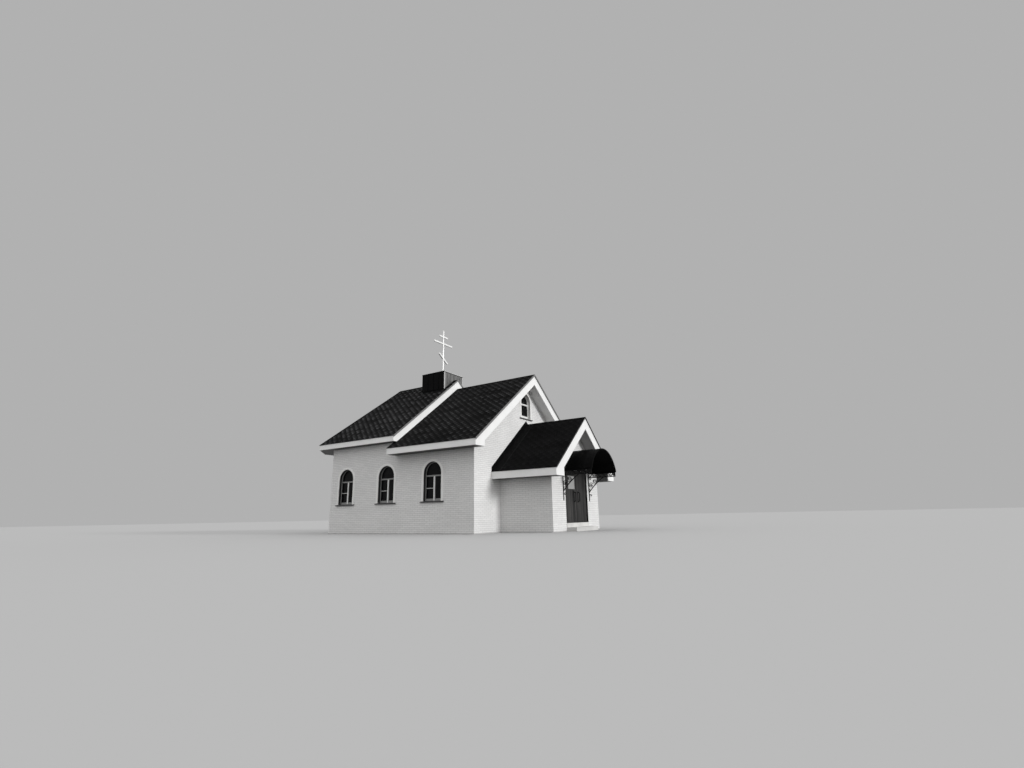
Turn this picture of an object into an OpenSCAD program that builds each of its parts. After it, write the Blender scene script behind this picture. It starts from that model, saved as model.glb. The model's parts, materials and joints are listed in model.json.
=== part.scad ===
// Small brick chapel: a nave whose rear part stands higher, a three-sided apse,
// an entrance porch with double doors, an arched iron canopy on scroll brackets,
// and a box on the ridge that carries a three-barred cross.
// Millimetres, +Z up. The porch faces -Y and the ground is at Z = 0.

/* [Nave] */
// Width of the nave over its brick faces
body_w = 7650; // [7300:10:8000]
// Length of the lower front part, up to the raised part
front_len = 4070; // [3800:10:4300]
// Length of the side walls, up to the apse corner
nave_len = 8130; // [7900:10:8500]
// Thickness of the nave walls
wall_t = 380; // [250:10:420]
// Height of the floor above the ground
floor_z = 310; // [250:5:360]
// Thickness of the floor slabs
floor_t = 120; // [80:10:200]
// Width of the doorway between porch and nave
inner_door_w = 1600; // [1000:10:2000]
// Height of the doorway between porch and nave
inner_door_h = 2150; // [2000:10:2300]

/* [Apse] */
// How far each slanted apse wall runs back, and inwards
apse_leg = 1050; // [900:10:1200]
// Overhang of the roof round the apse
apse_out = 650; // [550:10:700]
// How far the roof's rear peak stands before the apse corners
peak_back = 280; // [200:10:400]

/* [Front roof] */
// Height of the front part's eave
front_eave_z = 3410; // [3300:10:3500]
// Height of the front part's ridge
front_ridge_z = 6765; // [6600:5:6800]
// Overhang of the front part's eaves
front_eave_out = 572; // [500:2:650]
// Overhang of the front gable
front_verge_out = 504; // [400:2:600]
// Depth of the front part's eave board
front_fascia_h = 256; // [220:2:300]

/* [Raised roof] */
// Height of the raised part's eave
raised_eave_z = 3959; // [3900:1:4100]
// Height of the raised part's ridge
raised_ridge_z = 7235; // [7200:5:7400]
// Overhang of the raised part's eaves
raised_eave_out = 380; // [300:5:450]
// Overhang of the raised gable over the front roof
raised_verge_out = 165; // [120:5:220]
// Depth of the raised part's eave board
raised_fascia_h = 234; // [210:2:280]
// Thickness of the gable wall between the two roofs
step_wall_t = 250; // [200:10:300]

/* [Porch] */
// Width of the porch over its brick faces
porch_w = 4168; // [3900:2:4400]
// Length of the porch, out from the nave
porch_len = 2324; // [2000:2:2600]
// Thickness of the porch walls
porch_wall_t = 250; // [200:10:300]
// Height of the porch eave
porch_eave_z = 2314; // [2250:2:2400]
// Height of the porch ridge
porch_ridge_z = 4527; // [4400:1:4600]
// Overhang of the porch eaves
porch_eave_out = 614; // [500:2:650]
// Overhang of the porch gable
porch_verge_out = 550; // [450:5:600]
// Depth of the porch eave board
porch_fascia_h = 290; // [250:2:300]

/* [Roof build-up] */
// Upright thickness of the roof slabs
roof_t = 170; // [120:5:200]
// Gap between a roof slab and what stands under or on it
seat_gap = 0.5; // [0.2:0.1:2]
// Upright depth of the front gable's boards
front_barge_h = 465; // [400:5:500]
// Upright depth of the raised gable's boards
raised_barge_h = 435; // [380:5:450]
// Upright depth of the porch gable's boards
porch_barge_h = 490; // [420:5:520]
// Thickness of the gable and eave boards
board_t = 30; // [20:1:40]
// Thickness of the soffit lining
soft_t = 20; // [12:1:30]
// Height of the flashing where the porch roof meets the nave
flash_h = 180; // [100:5:220]
// Thickness of the flashing
flash_t = 12; // [6:1:20]

/* [Windows] */
// Width of a side window
win_w = 920; // [700:10:1000]
// Height of the side sills
win_sill_z = 1233; // [1100:1:1400]
// Height where the side window arches spring
win_spring_z = 2310; // [2200:1:2400]
// Distance of the first window from the front wall face
win_first = 2051; // [1800:1:2300]
// Distance of the second window from the start of the raised part
win_next = 544; // [540:1:700]
// Distance of the third window from the apse corner
win_last = 1003; // [800:1:1100]
// Width of the gable window
attic_w = 760; // [600:10:800]
// Height of the gable window's sill
attic_sill_z = 4815; // [4780:5:4900]
// Height where the gable window's arch springs
attic_spring_z = 5560; // [5400:5:5600]
// Depth of the window reveals
reveal_d = 110; // [80:5:160]
// Face width of the window frames
win_frame_w = 24; // [20:2:80]
// Depth of the window frames
win_frame_d = 70; // [50:5:90]
// Thickness of the glass units
pane_t = 16; // [8:1:24]
// Width of the raised surround
trim_w = 95; // [60:5:110]
// How far the surround stands out of the wall
trim_d = 20; // [10:1:30]
// How far the metal sills stand out of the wall
sill_out = 60; // [40:2:80]
// How far a metal sill runs past the surround at each end
sill_end = 40; // [20:5:60]
// Height of a metal sill's front edge
sill_edge = 30; // [20:2:40]

/* [Doors] */
// Clear width between the door jambs
door_w = 1890; // [1700:10:2000]
// Clear height of the doorway
door_h = 2000; // [1900:10:2050]
// Face width of the door frame
door_frame_w = 55; // [40:1:70]
// Depth of the door frame
door_frame_d = 110; // [80:5:140]
// Thickness of a door leaf
leaf_t = 60; // [45:1:70]
// Gap round a leaf
leaf_gap = 8; // [6:1:12]
// Gap where the leaves meet
meet_gap = 10; // [9:1:14]
// How far the door stands back from the porch face
door_set = 40; // [20:2:80]
// Length of a pull handle
pull_len = 385; // [300:5:420]
// Height of the middle of the pull handles above the floor
pull_z = 1009; // [900:1:1100]
// How far a pull handle stands out
pull_out = 94; // [70:1:100]
// Thickness of a pull handle's bar
pull_d = 25; // [18:1:30]
// How far the corners of a pull handle's bow are cut off
pull_cut = 40; // [25:1:60]
// Distance of a pull handle's middle from its leaf's free edge
pull_edge = 173; // [60:1:220]
// Diameter of the hinge barrels
barrel_d = 18; // [14:1:20]
// Length of each half of a hinge barrel
barrel_h = 60; // [40:5:80]
// Diameter of the hinge pins
pin_d = 9; // [6:1:10]
// Play between a pin and its bore, and between the barrel's halves
pin_gap = 0.6; // [0.4:0.1:1]
// How far the hinge pins stand before the leaves' faces
pin_out = 11; // [10:0.5:12]
// Width of the hinge plates
plate_w = 44; // [30:2:50]
// Thickness of the hinge plates
plate_t = 4; // [3.5:0.5:5]
// Distance of the top and bottom hinges from the leaf's ends
hinge_in = 250; // [200:10:400]

/* [Entrance] */
// How far the threshold stands out of the porch face
sill_nose = 20; // [10:1:40]
// Height of the entrance step
step_h = 150; // [120:5:180]
// Depth of the entrance step
step_d = 400; // [300:10:500]
// Size of the lamp over the doors
lamp_d = 120; // [90:2:150]
// Sideways place of the lamp
lamp_x = 945; // [850:5:1000]
// Height of the lamp
lamp_z = 2493; // [2480:1:2550]
// Depth of the lamp's round base
lamp_base = 30; // [20:2:50]
// Width of the base's rim round the glass
lamp_rim = 12; // [6:1:20]

/* [Canopy] */
// Half width of the canopy's arch
can_half = 1225; // [1180:5:1250]
// Rise of the canopy's arch
can_rise = 840; // [800:5:900]
// Height of the canopy's lower edge
can_z = 2330; // [2320:1:2360]
// How far the canopy stands out of the porch
can_out = 1276; // [1200:2:1300]
// Thickness of the canopy's sheet
can_t = 12; // [6:1:16]
// Size of the bars of the canopy's frame
can_bar = 30; // [20:1:36]

/* [Brackets] */
// Width of the bracket bars, seen from the side
iron_w = 34; // [28:1:40]
// Thickness of a bracket across the canopy
iron_t = 24; // [14:1:30]
// Drop of a bracket's wall bar below the canopy
leg_h = 1140; // [1000:5:1160]
// Height of the scroll band under the canopy
band_h = 180; // [170:1:190]
// Drop of the brace's foot below the canopy
brace_drop = 790; // [770:5:810]
// How far out the brace meets the band
brace_out = 720; // [700:5:740]
// Rise of the brace's bow towards the corner
brace_rise = 45; // [35:1:55]
// Largest radius of the double scroll over the brace
corner_r = 125; // [122:1:128]
// Largest radius of the scroll at the brace's foot
curl_r = 46; // [44:1:48]
// Largest radius of the scrolls on the wall bar
leg_curl_r = 60; // [50:1:66]
// Drop of the lower one of them below the canopy
leg_curl_drop = 900; // [890:5:960]
// Width of the bars that the scrolls are bent from
scroll_w = 20; // [16:1:22]
// Each half turn's radius as a share of the half turn before it
shrink = 0.72; // [0.7:0.01:0.74]
// How far a scroll is let into the bar that it is welded to
weld = 8; // [6:0.5:9]

/* [Ridge box and cross] */
// Half width of the ridge box
box_half = 704; // [600:2:740]
// Distance of the box's centre from the front wall face
box_y = 4895; // [4820:5:5000]
// Height of the box's top edge above the ridge
box_rise = 325; // [260:5:400]
// Thickness of the cap plate
cap_t = 60; // [40:2:80]
// Overhang of the cap plate
cap_out = 25; // [15:1:40]
// Rise of the cap's low pyramid
cap_rise = 120; // [60:5:180]
// Height of the cross above the cap's tip
cross_h = 2322; // [2100:2:2400]
// Thickness of the cross's post
cross_d = 70; // [45:1:80]
// Thickness of the cross's arms
arm_d = 60; // [35:1:70]
// Distance of the main arm below the top of the cross
arm_drop = 718; // [650:2:800]
// Half length of the main arm
arm_half = 700; // [600:5:760]
// Distance from the main arm up to the small arm
small_up = 376; // [300:2:420]
// Half length of the small arm
small_half = 316; // [250:2:380]
// Distance from the main arm down to the slanted arm
slant_down = 795; // [700:5:850]
// Half length of the slanted arm
slant_half = 385; // [300:5:440]
// Slope of the slanted arm, left end up
slant_deg = 35; // [20:1:45]

/* [Hidden] */
$fn = 64;
far = 20000;
body_half = body_w / 2;
porch_half = porch_w / 2;

// Eave lines, out to the faces of the eave boards
front_half = body_half + front_eave_out;
raised_half = body_half + raised_eave_out;
porch_eave_half = porch_half + porch_eave_out;
front_slope = (front_ridge_z - front_eave_z) / front_half;
raised_slope = (raised_ridge_z - raised_eave_z) / raised_half;
porch_slope = (porch_ridge_z - porch_eave_z) / porch_eave_half;

// Apse plan, with the wall line and the eave line on one 45 degree side
apse_x = body_half - apse_leg;
apse_y = nave_len + apse_leg;
miter = wall_t * tan(22.5);
eave_corner_y = nave_len - raised_eave_out + apse_out * sqrt(2);
rear_eave_y = apse_y + apse_out;
eave_corner_x = raised_half - (rear_eave_y - eave_corner_y);
peak_y = nave_len - peak_back;

// Middles of the side windows, from the front wall's face
win_at = [win_first, front_len + win_next, nave_len - win_last];

// Doorway
door_top = floor_z + door_h;
gap_half = door_w / 2 + door_frame_w;
gap_top = door_top + door_frame_w;
door_y = door_set - porch_len;
leaf_w = (door_w - 2 * leaf_gap - meet_gap) / 2;
pin_x = door_w / 2 - leaf_gap / 2;
inner_top = floor_z + inner_door_h;
sill_lip = 2;
sill_fall = 0.3;

// Canopy
can_r = (can_half * can_half + can_rise * can_rise) / (2 * can_rise);
can_mid_z = can_z + can_rise - can_r;
bracket_x = can_half - can_bar - iron_t / 2;
scroll_steps = 10;
brace_steps = 12;
band_scrolls = 5;
// Places of the scrolls along the brace, from 0 at the wall to 1 at the band
double_at = 0.426;
foot_curl_at = 0.147;

// Ridge box and cross
box_top = raised_ridge_z + box_rise;
cross_foot = box_top + cap_t + cap_rise;
arm_z = cross_foot + cross_h - arm_drop;
// Share of the cap's width that its flat tip under the cross keeps
cap_tip = 0.1;

// The origin lies under the middle of the whole chapel
front_y = -porch_len - can_out;
mid_y = (front_y + rear_eave_y) / 2;

brick = [0.78, 0.77, 0.75];
white = [0.9, 0.9, 0.88];
shingle = [0.14, 0.14, 0.15];
iron = [0.08, 0.08, 0.09];
sheet_metal = [0.2, 0.2, 0.22];
door_grey = [0.27, 0.26, 0.25];
concrete = [0.62, 0.61, 0.58];

// Moves the chapel from the front wall's face to the part's own origin
module placed() {
    translate([0, -mid_y, 0]) children();
}

module mirrored() {
    mirror([1, 0, 0]) children();
}

module both_sides() {
    children();
    mirrored() children();
}

// Extrudes an outline drawn in X and Z from y0 to y1
module along_y(y0, y1) {
    translate([0, y1, 0]) rotate([90, 0, 0]) linear_extrude(y1 - y0) children();
}

// Extrudes an outline drawn in Y and Z from x0 to x1
module along_x(x0, x1) {
    translate([x0, 0, 0]) rotate([90, 0, 90]) linear_extrude(x1 - x0) children();
}

// A wall's own frame: its face is at Y = 0 and looks along -Y
module on_left(y) {
    translate([-body_half, y, 0]) rotate([0, 0, -90]) children();
}

module on_right(y) {
    translate([body_half, y, 0]) rotate([0, 0, 90]) children();
}

// Heights of the three roofs over a point x from the middle
function front_top(x) = front_ridge_z - front_slope * abs(x);
function raised_top(x) = raised_ridge_z - raised_slope * abs(x);
function porch_top(x) = porch_ridge_z - porch_slope * abs(x);

// How far under a roof's surface the walls stop
under = roof_t + seat_gap;

// Walls

// Outline of an opening with a round head
module arch(w, sill, spring) {
    translate([-w / 2, sill]) square([w, spring - sill]);
    translate([0, spring]) circle(d = w);
}

// Section of a side wall, sloped on top to bear the roof
module side_section(inner, outer, top_in, top_out) {
    polygon([[inner, 0], [outer, 0], [outer, top_out], [inner, top_in]]);
}

module front_side_wall() {
    inner = body_half - wall_t;
    difference() {
        along_y(wall_t, front_len)
            side_section(inner, body_half, front_top(inner) - under, front_top(body_half) - under);
        on_right(win_at[0]) window_cut();
    }
}

module raised_side_wall() {
    inner = body_half - wall_t;
    difference() {
        along_y(front_len, nave_len - miter)
            side_section(inner, body_half, raised_top(inner) - under, raised_top(body_half) - under);
        on_right(win_at[1]) window_cut();
        on_right(win_at[2]) window_cut();
    }
}

// The cut goes through its own wall only
module window_cut() {
    along_y(-wall_t, 2 * wall_t) arch(win_w, win_sill_z, win_spring_z);
}

module left_front_wall() {
    placed() color(brick) mirrored() front_side_wall();
}

module right_front_wall() {
    placed() color(brick) front_side_wall();
}

module left_raised_wall() {
    placed() color(brick) mirrored() raised_side_wall();
}

module right_raised_wall() {
    placed() color(brick) raised_side_wall();
}

// Half of the apse wall's outline, set in from its face by t
function apse_line(t) = [
    [body_half - t, nave_len - miter],
    [body_half - t, nave_len - t * tan(22.5)],
    [apse_x - t * tan(22.5), apse_y - t]
];

function flipped(points) = [for (i = [len(points) - 1:-1:0]) [-points[i][0], points[i][1]]];

module apse_ring() {
    outer = concat(apse_line(0), flipped(apse_line(0)));
    inner = concat(apse_line(wall_t), flipped(apse_line(wall_t)));
    difference() {
        polygon(outer);
        polygon(inner);
    }
}

// Eave outline round the apse, seen from the roof's rear peak
function eave_outline(in) = [
    [raised_half - in, 0],
    [raised_half - in, eave_corner_y - peak_y - in * tan(22.5)],
    [eave_corner_x - in * tan(22.5), rear_eave_y - peak_y - in],
    [-eave_corner_x + in * tan(22.5), rear_eave_y - peak_y - in],
    [-raised_half + in, eave_corner_y - peak_y - in * tan(22.5)],
    [-raised_half + in, 0]
];

// The volume under the apse roof, with its surface lowered by drop
module apse_volume(base, drop) {
    translate([0, peak_y, base]) linear_extrude(raised_eave_z - drop - base) polygon(eave_outline(0));
    translate([0, peak_y, raised_eave_z - drop])
        linear_extrude(height = raised_ridge_z - raised_eave_z, scale = 0) polygon(eave_outline(0));
}

module apse_wall() {
    placed() color(brick) intersection() {
        linear_extrude(raised_ridge_z) apse_ring();
        apse_volume(0, under);
    }
}

module front_wall_right_piece() {
    along_y(0, wall_t) translate([inner_door_w / 2, 0]) square([body_half - inner_door_w / 2, inner_top]);
}

module front_wall_left() {
    placed() color(brick) mirrored() front_wall_right_piece();
}

module front_wall_right() {
    placed() color(brick) front_wall_right_piece();
}

// Outline of a gable over the level base, under a roof with the given slope
module gable(half, base, ridge, slope) {
    polygon([[-half, base], [half, base], [half, ridge - slope * half], [0, ridge],
        [-half, ridge - slope * half]]);
}

module front_gable() {
    placed() color(brick) difference() {
        along_y(0, wall_t) gable(body_half, inner_top, front_ridge_z - under, front_slope);
        along_y(-wall_t, 2 * wall_t) arch(attic_w, attic_sill_z, attic_spring_z);
    }
}

// The step between the two roofs, which the front roof butts against
module raised_gable() {
    half = body_half - wall_t;
    low = front_ridge_z - roof_t;
    placed() color(white) along_y(front_len, front_len + step_wall_t) difference() {
        gable(half, front_top(half) - roof_t, raised_ridge_z - under, raised_slope);
        polygon([[-half - 1, low - front_slope * (half + 1)], [0, low],
            [half + 1, low - front_slope * (half + 1)], [0, -far]]);
    }
}

// Porch walls

module porch_side_wall() {
    inner = porch_half - porch_wall_t;
    along_y(porch_wall_t - porch_len, 0)
        side_section(inner, porch_half, porch_top(inner) - under, porch_top(porch_half) - under);
}

module porch_left_wall() {
    placed() color(brick) mirrored() porch_side_wall();
}

module porch_right_wall() {
    placed() color(brick) porch_side_wall();
}

module porch_front_piece() {
    along_y(-porch_len, porch_wall_t - porch_len)
        translate([gap_half, 0]) square([porch_half - gap_half, gap_top]);
}

module porch_front_left() {
    placed() color(brick) mirrored() porch_front_piece();
}

module porch_front_right() {
    placed() color(brick) porch_front_piece();
}

module porch_gable() {
    placed() color(brick) along_y(-porch_len, porch_wall_t - porch_len)
        gable(porch_half, gap_top, porch_ridge_z - under, porch_slope);
}

// Floors and entrance

module nave_floor() {
    inner = concat(apse_line(wall_t), flipped(apse_line(wall_t)),
        [[wall_t - body_half, wall_t], [-inner_door_w / 2, wall_t], [-inner_door_w / 2, 0],
            [inner_door_w / 2, 0], [inner_door_w / 2, wall_t], [body_half - wall_t, wall_t]]);
    placed() color(concrete) translate([0, 0, floor_z - floor_t]) linear_extrude(floor_t) polygon(inner);
}

module porch_floor() {
    half = porch_half - porch_wall_t;
    placed() color(concrete) translate([-half, porch_wall_t - porch_len, floor_z - floor_t])
        cube([2 * half, porch_len - porch_wall_t, floor_t]);
}

module threshold() {
    placed() color(white) translate([-gap_half, -porch_len - sill_nose, 0])
        cube([2 * gap_half, porch_wall_t + sill_nose, floor_z]);
}

module entrance_step() {
    placed() color(concrete) translate([-gap_half, -porch_len - sill_nose - step_d, 0])
        cube([2 * gap_half, step_d, step_h]);
}

// Roofs

// Right half of a roof: a slab of even upright thickness
module roof_half(half, ridge, slope, y0, y1) {
    along_y(y0, y1) polygon([[0, ridge], [half, ridge - slope * half],
        [half, ridge - slope * half - roof_t], [0, ridge - roof_t]]);
}

module front_roof() {
    roof_half(front_half - board_t, front_ridge_z, front_slope, board_t - front_verge_out, front_len);
}

module raised_roof() {
    roof_half(raised_half - board_t, raised_ridge_z, raised_slope,
        front_len - raised_verge_out + board_t, peak_y);
}

module porch_roof() {
    roof_half(porch_eave_half - board_t, porch_ridge_z, porch_slope,
        board_t - porch_len - porch_verge_out, 0);
}

module front_roof_left() {
    placed() color(shingle) mirrored() front_roof();
}

module front_roof_right() {
    placed() color(shingle) front_roof();
}

module raised_roof_left() {
    placed() color(shingle) mirrored() raised_roof();
}

module raised_roof_right() {
    placed() color(shingle) raised_roof();
}

module porch_roof_left() {
    placed() color(shingle) mirrored() porch_roof();
}

module porch_roof_right() {
    placed() color(shingle) porch_roof();
}

// Five planes that meet at the ridge's rear peak
module apse_roof() {
    placed() color(shingle) intersection() {
        difference() {
            apse_volume(raised_eave_z - roof_t, 0);
            apse_volume(0, roof_t);
        }
        translate([0, peak_y, 0]) linear_extrude(far) polygon(eave_outline(board_t));
    }
}

module porch_flashing() {
    half = porch_eave_half;
    foot = porch_top(half) + seat_gap;
    placed() color(sheet_metal) along_y(-flash_t, 0) polygon([[-half, foot],
        [0, porch_ridge_z + seat_gap], [half, foot], [half, foot + flash_h],
        [0, porch_ridge_z + seat_gap + flash_h], [-half, foot + flash_h]]);
}

// Gable boards: a board of depth h along each slope, whose foot closes the end of the
// eave box, level with the eave board's lower edge and in to the wall's face
module barge_outline(half, wall, ridge, slope, h, foot) {
    low = ridge - slope * half - foot;
    polygon([[-half, low], [-half, low + foot], [0, ridge], [half, low + foot], [half, low],
        [wall, low], [wall, ridge - slope * wall - h], [0, ridge - h],
        [-wall, ridge - slope * wall - h], [-wall, low]]);
}

// Cuts away what would lie within the front roof
module over_front_roof() {
    difference() {
        children();
        along_y(0, front_len) polygon([[-front_half, 0], [-front_half, front_eave_z],
            [0, front_ridge_z], [front_half, front_eave_z], [front_half, 0]]);
    }
}

module bargeboards() {
    placed() color(white) {
        along_y(-front_verge_out, board_t - front_verge_out) barge_outline(front_half,
            body_half, front_ridge_z, front_slope, front_barge_h, front_fascia_h);
        over_front_roof() translate([0, front_len - raised_verge_out, 0]) along_y(0, board_t)
            barge_outline(raised_half, body_half, raised_ridge_z, raised_slope,
                raised_barge_h, raised_fascia_h);
        translate([0, -porch_len - porch_verge_out, 0]) along_y(0, board_t)
            barge_outline(porch_eave_half, porch_half, porch_ridge_z, porch_slope,
                porch_barge_h, porch_fascia_h);
    }
}

// Right eave board of a straight eave
module eave_board(half, top, h, y0, y1) {
    translate([half - board_t, y0, top - h]) cube([board_t, y1 - y0, h]);
}

// Board that runs along one raised eave, round the apse and back along the other
module raised_eave_board() {
    y0 = front_len - raised_verge_out + board_t - peak_y;
    translate([0, peak_y, raised_eave_z - raised_fascia_h]) linear_extrude(raised_fascia_h)
        difference() {
            polygon(long_eave(0, y0));
            polygon(long_eave(board_t, y0));
        }
}

// Eave outline of the raised part, from the raised gable round the apse
function long_eave(in, y0) = concat([[raised_half - in, y0]],
    [for (i = [1:4]) eave_outline(in)[i]], [[in - raised_half, y0]]);

module eave_boards() {
    placed() color(white) {
        both_sides() eave_board(front_half, front_eave_z, front_fascia_h,
            board_t - front_verge_out, front_len);
        raised_eave_board();
        both_sides() eave_board(porch_eave_half, porch_eave_z, porch_fascia_h,
            board_t - porch_len - porch_verge_out, 0);
    }
}

// Level lining between a wall and its eave board
module soffit(inner, half, bottom, y0, y1) {
    translate([inner, y0, bottom]) cube([half - board_t - inner, y1 - y0, soft_t]);
}

// Upright lining that closes the eave box where it passes the gable wall
module box_side(inner, bottom, roof_under, y0, y1) {
    translate([inner, y0, bottom + soft_t]) cube([soft_t, y1 - y0, roof_under - bottom - soft_t]);
}

module raised_soffit() {
    y0 = front_len - raised_verge_out + board_t - peak_y;
    translate([0, peak_y, raised_eave_z - raised_fascia_h]) linear_extrude(soft_t) difference() {
        polygon(long_eave(board_t, y0));
        translate([0, -peak_y]) polygon(concat([[body_half, front_len]], wall_face(), [[-body_half, front_len]]));
        translate([-body_half, y0 - 1]) square([body_w, front_len - peak_y - y0 + 2]);
    }
}

// Outer face of the apse wall from corner to corner
function wall_face() = [[body_half, nave_len], [apse_x, apse_y], [-apse_x, apse_y],
    [-body_half, nave_len]];

module eave_soffits() {
    front_low = front_eave_z - front_fascia_h;
    porch_low = porch_eave_z - porch_fascia_h;
    front_start = board_t - front_verge_out;
    porch_start = board_t - porch_len - porch_verge_out;
    placed() color(white) {
        both_sides() {
            soffit(body_half, front_half, front_low, front_start, front_len);
            box_side(body_half, front_low, front_top(body_half + soft_t) - under, front_start, 0);
            soffit(porch_half, porch_eave_half, porch_low, porch_start, 0);
            box_side(porch_half, porch_low, porch_top(porch_half + soft_t) - under,
                porch_start, -porch_len);
        }
        over_front_roof() raised_soffit();
    }
}

// Windows, made in a wall's own frame

module frame_ring(w, sill, spring) {
    along_y(reveal_d, reveal_d + win_frame_d) difference() {
        arch(w, sill, spring);
        arch(w - 2 * win_frame_w, sill + win_frame_w, spring);
    }
}

module pane(w, sill, spring) {
    mid = reveal_d + win_frame_d / 2;
    along_y(mid - pane_t / 2, mid + pane_t / 2)
        arch(w - 2 * win_frame_w, sill + win_frame_w, spring);
}

module surround(w, sill, spring) {
    along_y(-trim_d, 0) difference() {
        arch(w + 2 * trim_w, sill + sill_lip, spring);
        arch(w, sill, spring);
    }
}

// Sloping metal sill: a tongue in the opening and a wider nose before the wall
module metal_sill(w, sill) {
    half = w / 2 + trim_w + sill_end;
    top = sill + sill_lip;
    low = sill - sill_edge;
    fall = sill_out * sill_fall;
    along_x(-w / 2, w / 2)
        polygon([[0, sill], [reveal_d, sill], [reveal_d, top + reveal_d * sill_lip / 20], [0, top]]);
    along_x(-half, half)
        polygon([[0, top], [0, low], [-sill_out, low - fall], [-sill_out, top - fall]]);
}

module each_side_window() {
    for (y = win_at) {
        on_left(y) children();
        on_right(y) children();
    }
}

module window_frames() {
    placed() color(white) {
        each_side_window() frame_ring(win_w, win_sill_z, win_spring_z);
        frame_ring(attic_w, attic_sill_z, attic_spring_z);
    }
}

module window_panes() {
    placed() color([0.2, 0.22, 0.24, 0.6]) {
        each_side_window() pane(win_w, win_sill_z, win_spring_z);
        pane(attic_w, attic_sill_z, attic_spring_z);
    }
}

module window_surrounds() {
    placed() color(white) {
        each_side_window() surround(win_w, win_sill_z, win_spring_z);
        surround(attic_w, attic_sill_z, attic_spring_z);
    }
}

module window_sills() {
    placed() color(sheet_metal) {
        each_side_window() metal_sill(win_w, win_sill_z);
        metal_sill(attic_w, attic_sill_z);
    }
}

// Doors

module door_frame() {
    placed() color(door_grey) along_y(door_y, door_y + door_frame_d) difference() {
        translate([-gap_half, floor_z]) square([2 * gap_half, gap_top - floor_z]);
        translate([-door_w / 2, 0]) square([door_w, door_top]);
    }
}

// Right leaf, closed, with its outer face at door_y
module leaf() {
    translate([meet_gap / 2, door_y, floor_z + leaf_gap]) cube([leaf_w, leaf_t, door_h - 2 * leaf_gap]);
}

module left_door() {
    placed() color(door_grey) mirrored() leaf();
}

module right_door() {
    placed() color(door_grey) leaf();
}

// Pull handle: a bar bent to a bow, with both feet on the leaf
module pull() {
    inner_cut = pull_cut - (2 - sqrt(2)) * pull_d;
    translate([meet_gap / 2 + pull_edge, door_y, floor_z + pull_z]) along_x(-pull_d / 2, pull_d / 2)
        difference() {
            bow(pull_out, pull_len / 2, pull_cut);
            bow(pull_out - pull_d, pull_len / 2 - pull_d, inner_cut);
        }
}

// Outline of a bow in Y and Z, which stands out from the leaf at Y = 0
module bow(out, half, cut) {
    polygon([[0, -half], [cut - out, -half], [-out, cut - half], [-out, half - cut],
        [cut - out, half], [0, half]]);
}

// Lift-off hinges: the leaf's bored barrel turns on a pin in the frame's barrel below it
module at_hinges() {
    span = door_h - 2 * hinge_in;
    for (i = [0:2])
        translate([pin_x, door_y, floor_z + hinge_in + i * span / 2]) children();
}

module leaf_knuckle() {
    translate([-plate_w, -plate_t, pin_gap]) cube([plate_w, plate_t, barrel_h]);
    translate([0, -pin_out, pin_gap]) difference() {
        cylinder(h = barrel_h, d = barrel_d);
        translate([0, 0, -1]) cylinder(h = barrel_h + 2, d = pin_d + 2 * pin_gap);
    }
}

module frame_knuckle() {
    translate([0, -plate_t, -barrel_h]) cube([plate_w, plate_t, barrel_h]);
    translate([0, -pin_out, -barrel_h]) cylinder(h = barrel_h, d = barrel_d);
    translate([0, -pin_out, -barrel_h]) cylinder(h = 2 * barrel_h, d = pin_d);
}

// Fittings that go with the right leaf
module fittings() {
    pull();
    at_hinges() leaf_knuckle();
}

module left_fittings() {
    placed() color(iron) mirrored() fittings();
}

module right_fittings() {
    placed() color(iron) fittings();
}

module door_hinges() {
    placed() color(iron) both_sides() at_hinges() frame_knuckle();
}

// Round wall lamp beside the canopy's top: a short drum with a domed glass
module porch_lamp() {
    placed() color(white) translate([lamp_x, -porch_len, lamp_z]) rotate([90, 0, 0])
        rotate_extrude() {
            square([lamp_d / 2, lamp_base]);
            translate([0, lamp_base]) intersection() {
                circle(r = lamp_d / 2 - lamp_rim);
                square(lamp_d);
            }
        }
}

// Canopy

// Arched band between two radii, above the canopy's lower edge
module arch_band(outer, inner) {
    intersection() {
        translate([0, can_mid_z]) difference() {
            circle(r = outer, $fn = 128);
            circle(r = inner, $fn = 128);
        }
        translate([-can_half - 1, can_z]) square([2 * can_half + 2, can_rise + 1]);
    }
}

module canopy_shell() {
    placed() color(iron) along_y(front_y, -porch_len) arch_band(can_r, can_r - can_t);
}

// Arched bar at each end of the canopy, and a rail along each lower edge
module canopy_frame() {
    outer = can_r - can_t;
    rail_out = sqrt(outer * outer - pow(can_z - can_mid_z, 2));
    placed() color(iron) {
        along_y(front_y, front_y + can_bar) arch_band(outer, outer - can_bar);
        along_y(-porch_len - can_bar, -porch_len) arch_band(outer, outer - can_bar);
        both_sides() translate([rail_out - can_bar, front_y, can_z - can_bar])
            cube([can_bar, can_out, can_bar]);
    }
}

// Bar bent to a spiral about the origin, from the +X side through turns half turns, anti-
// clockwise. Its outer radius starts at r and is smaller by shrink after each half turn.
module scroll(r, turns) {
    last = turns * scroll_steps;
    polygon(concat([for (i = [0:last]) scroll_point(scroll_radius(r, i), i)],
        [for (i = [last:-1:0]) scroll_point(scroll_radius(r, i) - scroll_w, i)]));
}

function scroll_radius(r, i) = r * pow(shrink, i / scroll_steps);
function scroll_point(r, i) = [r * cos(180 * i / scroll_steps), r * sin(180 * i / scroll_steps)];

// Two scrolls that grow out of one another at the middle
module double_scroll(r, turns) {
    for (turned = [0, 180])
        rotate(turned) translate([scroll_w / 2 - r, 0]) scroll(r, turns);
}

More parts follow.
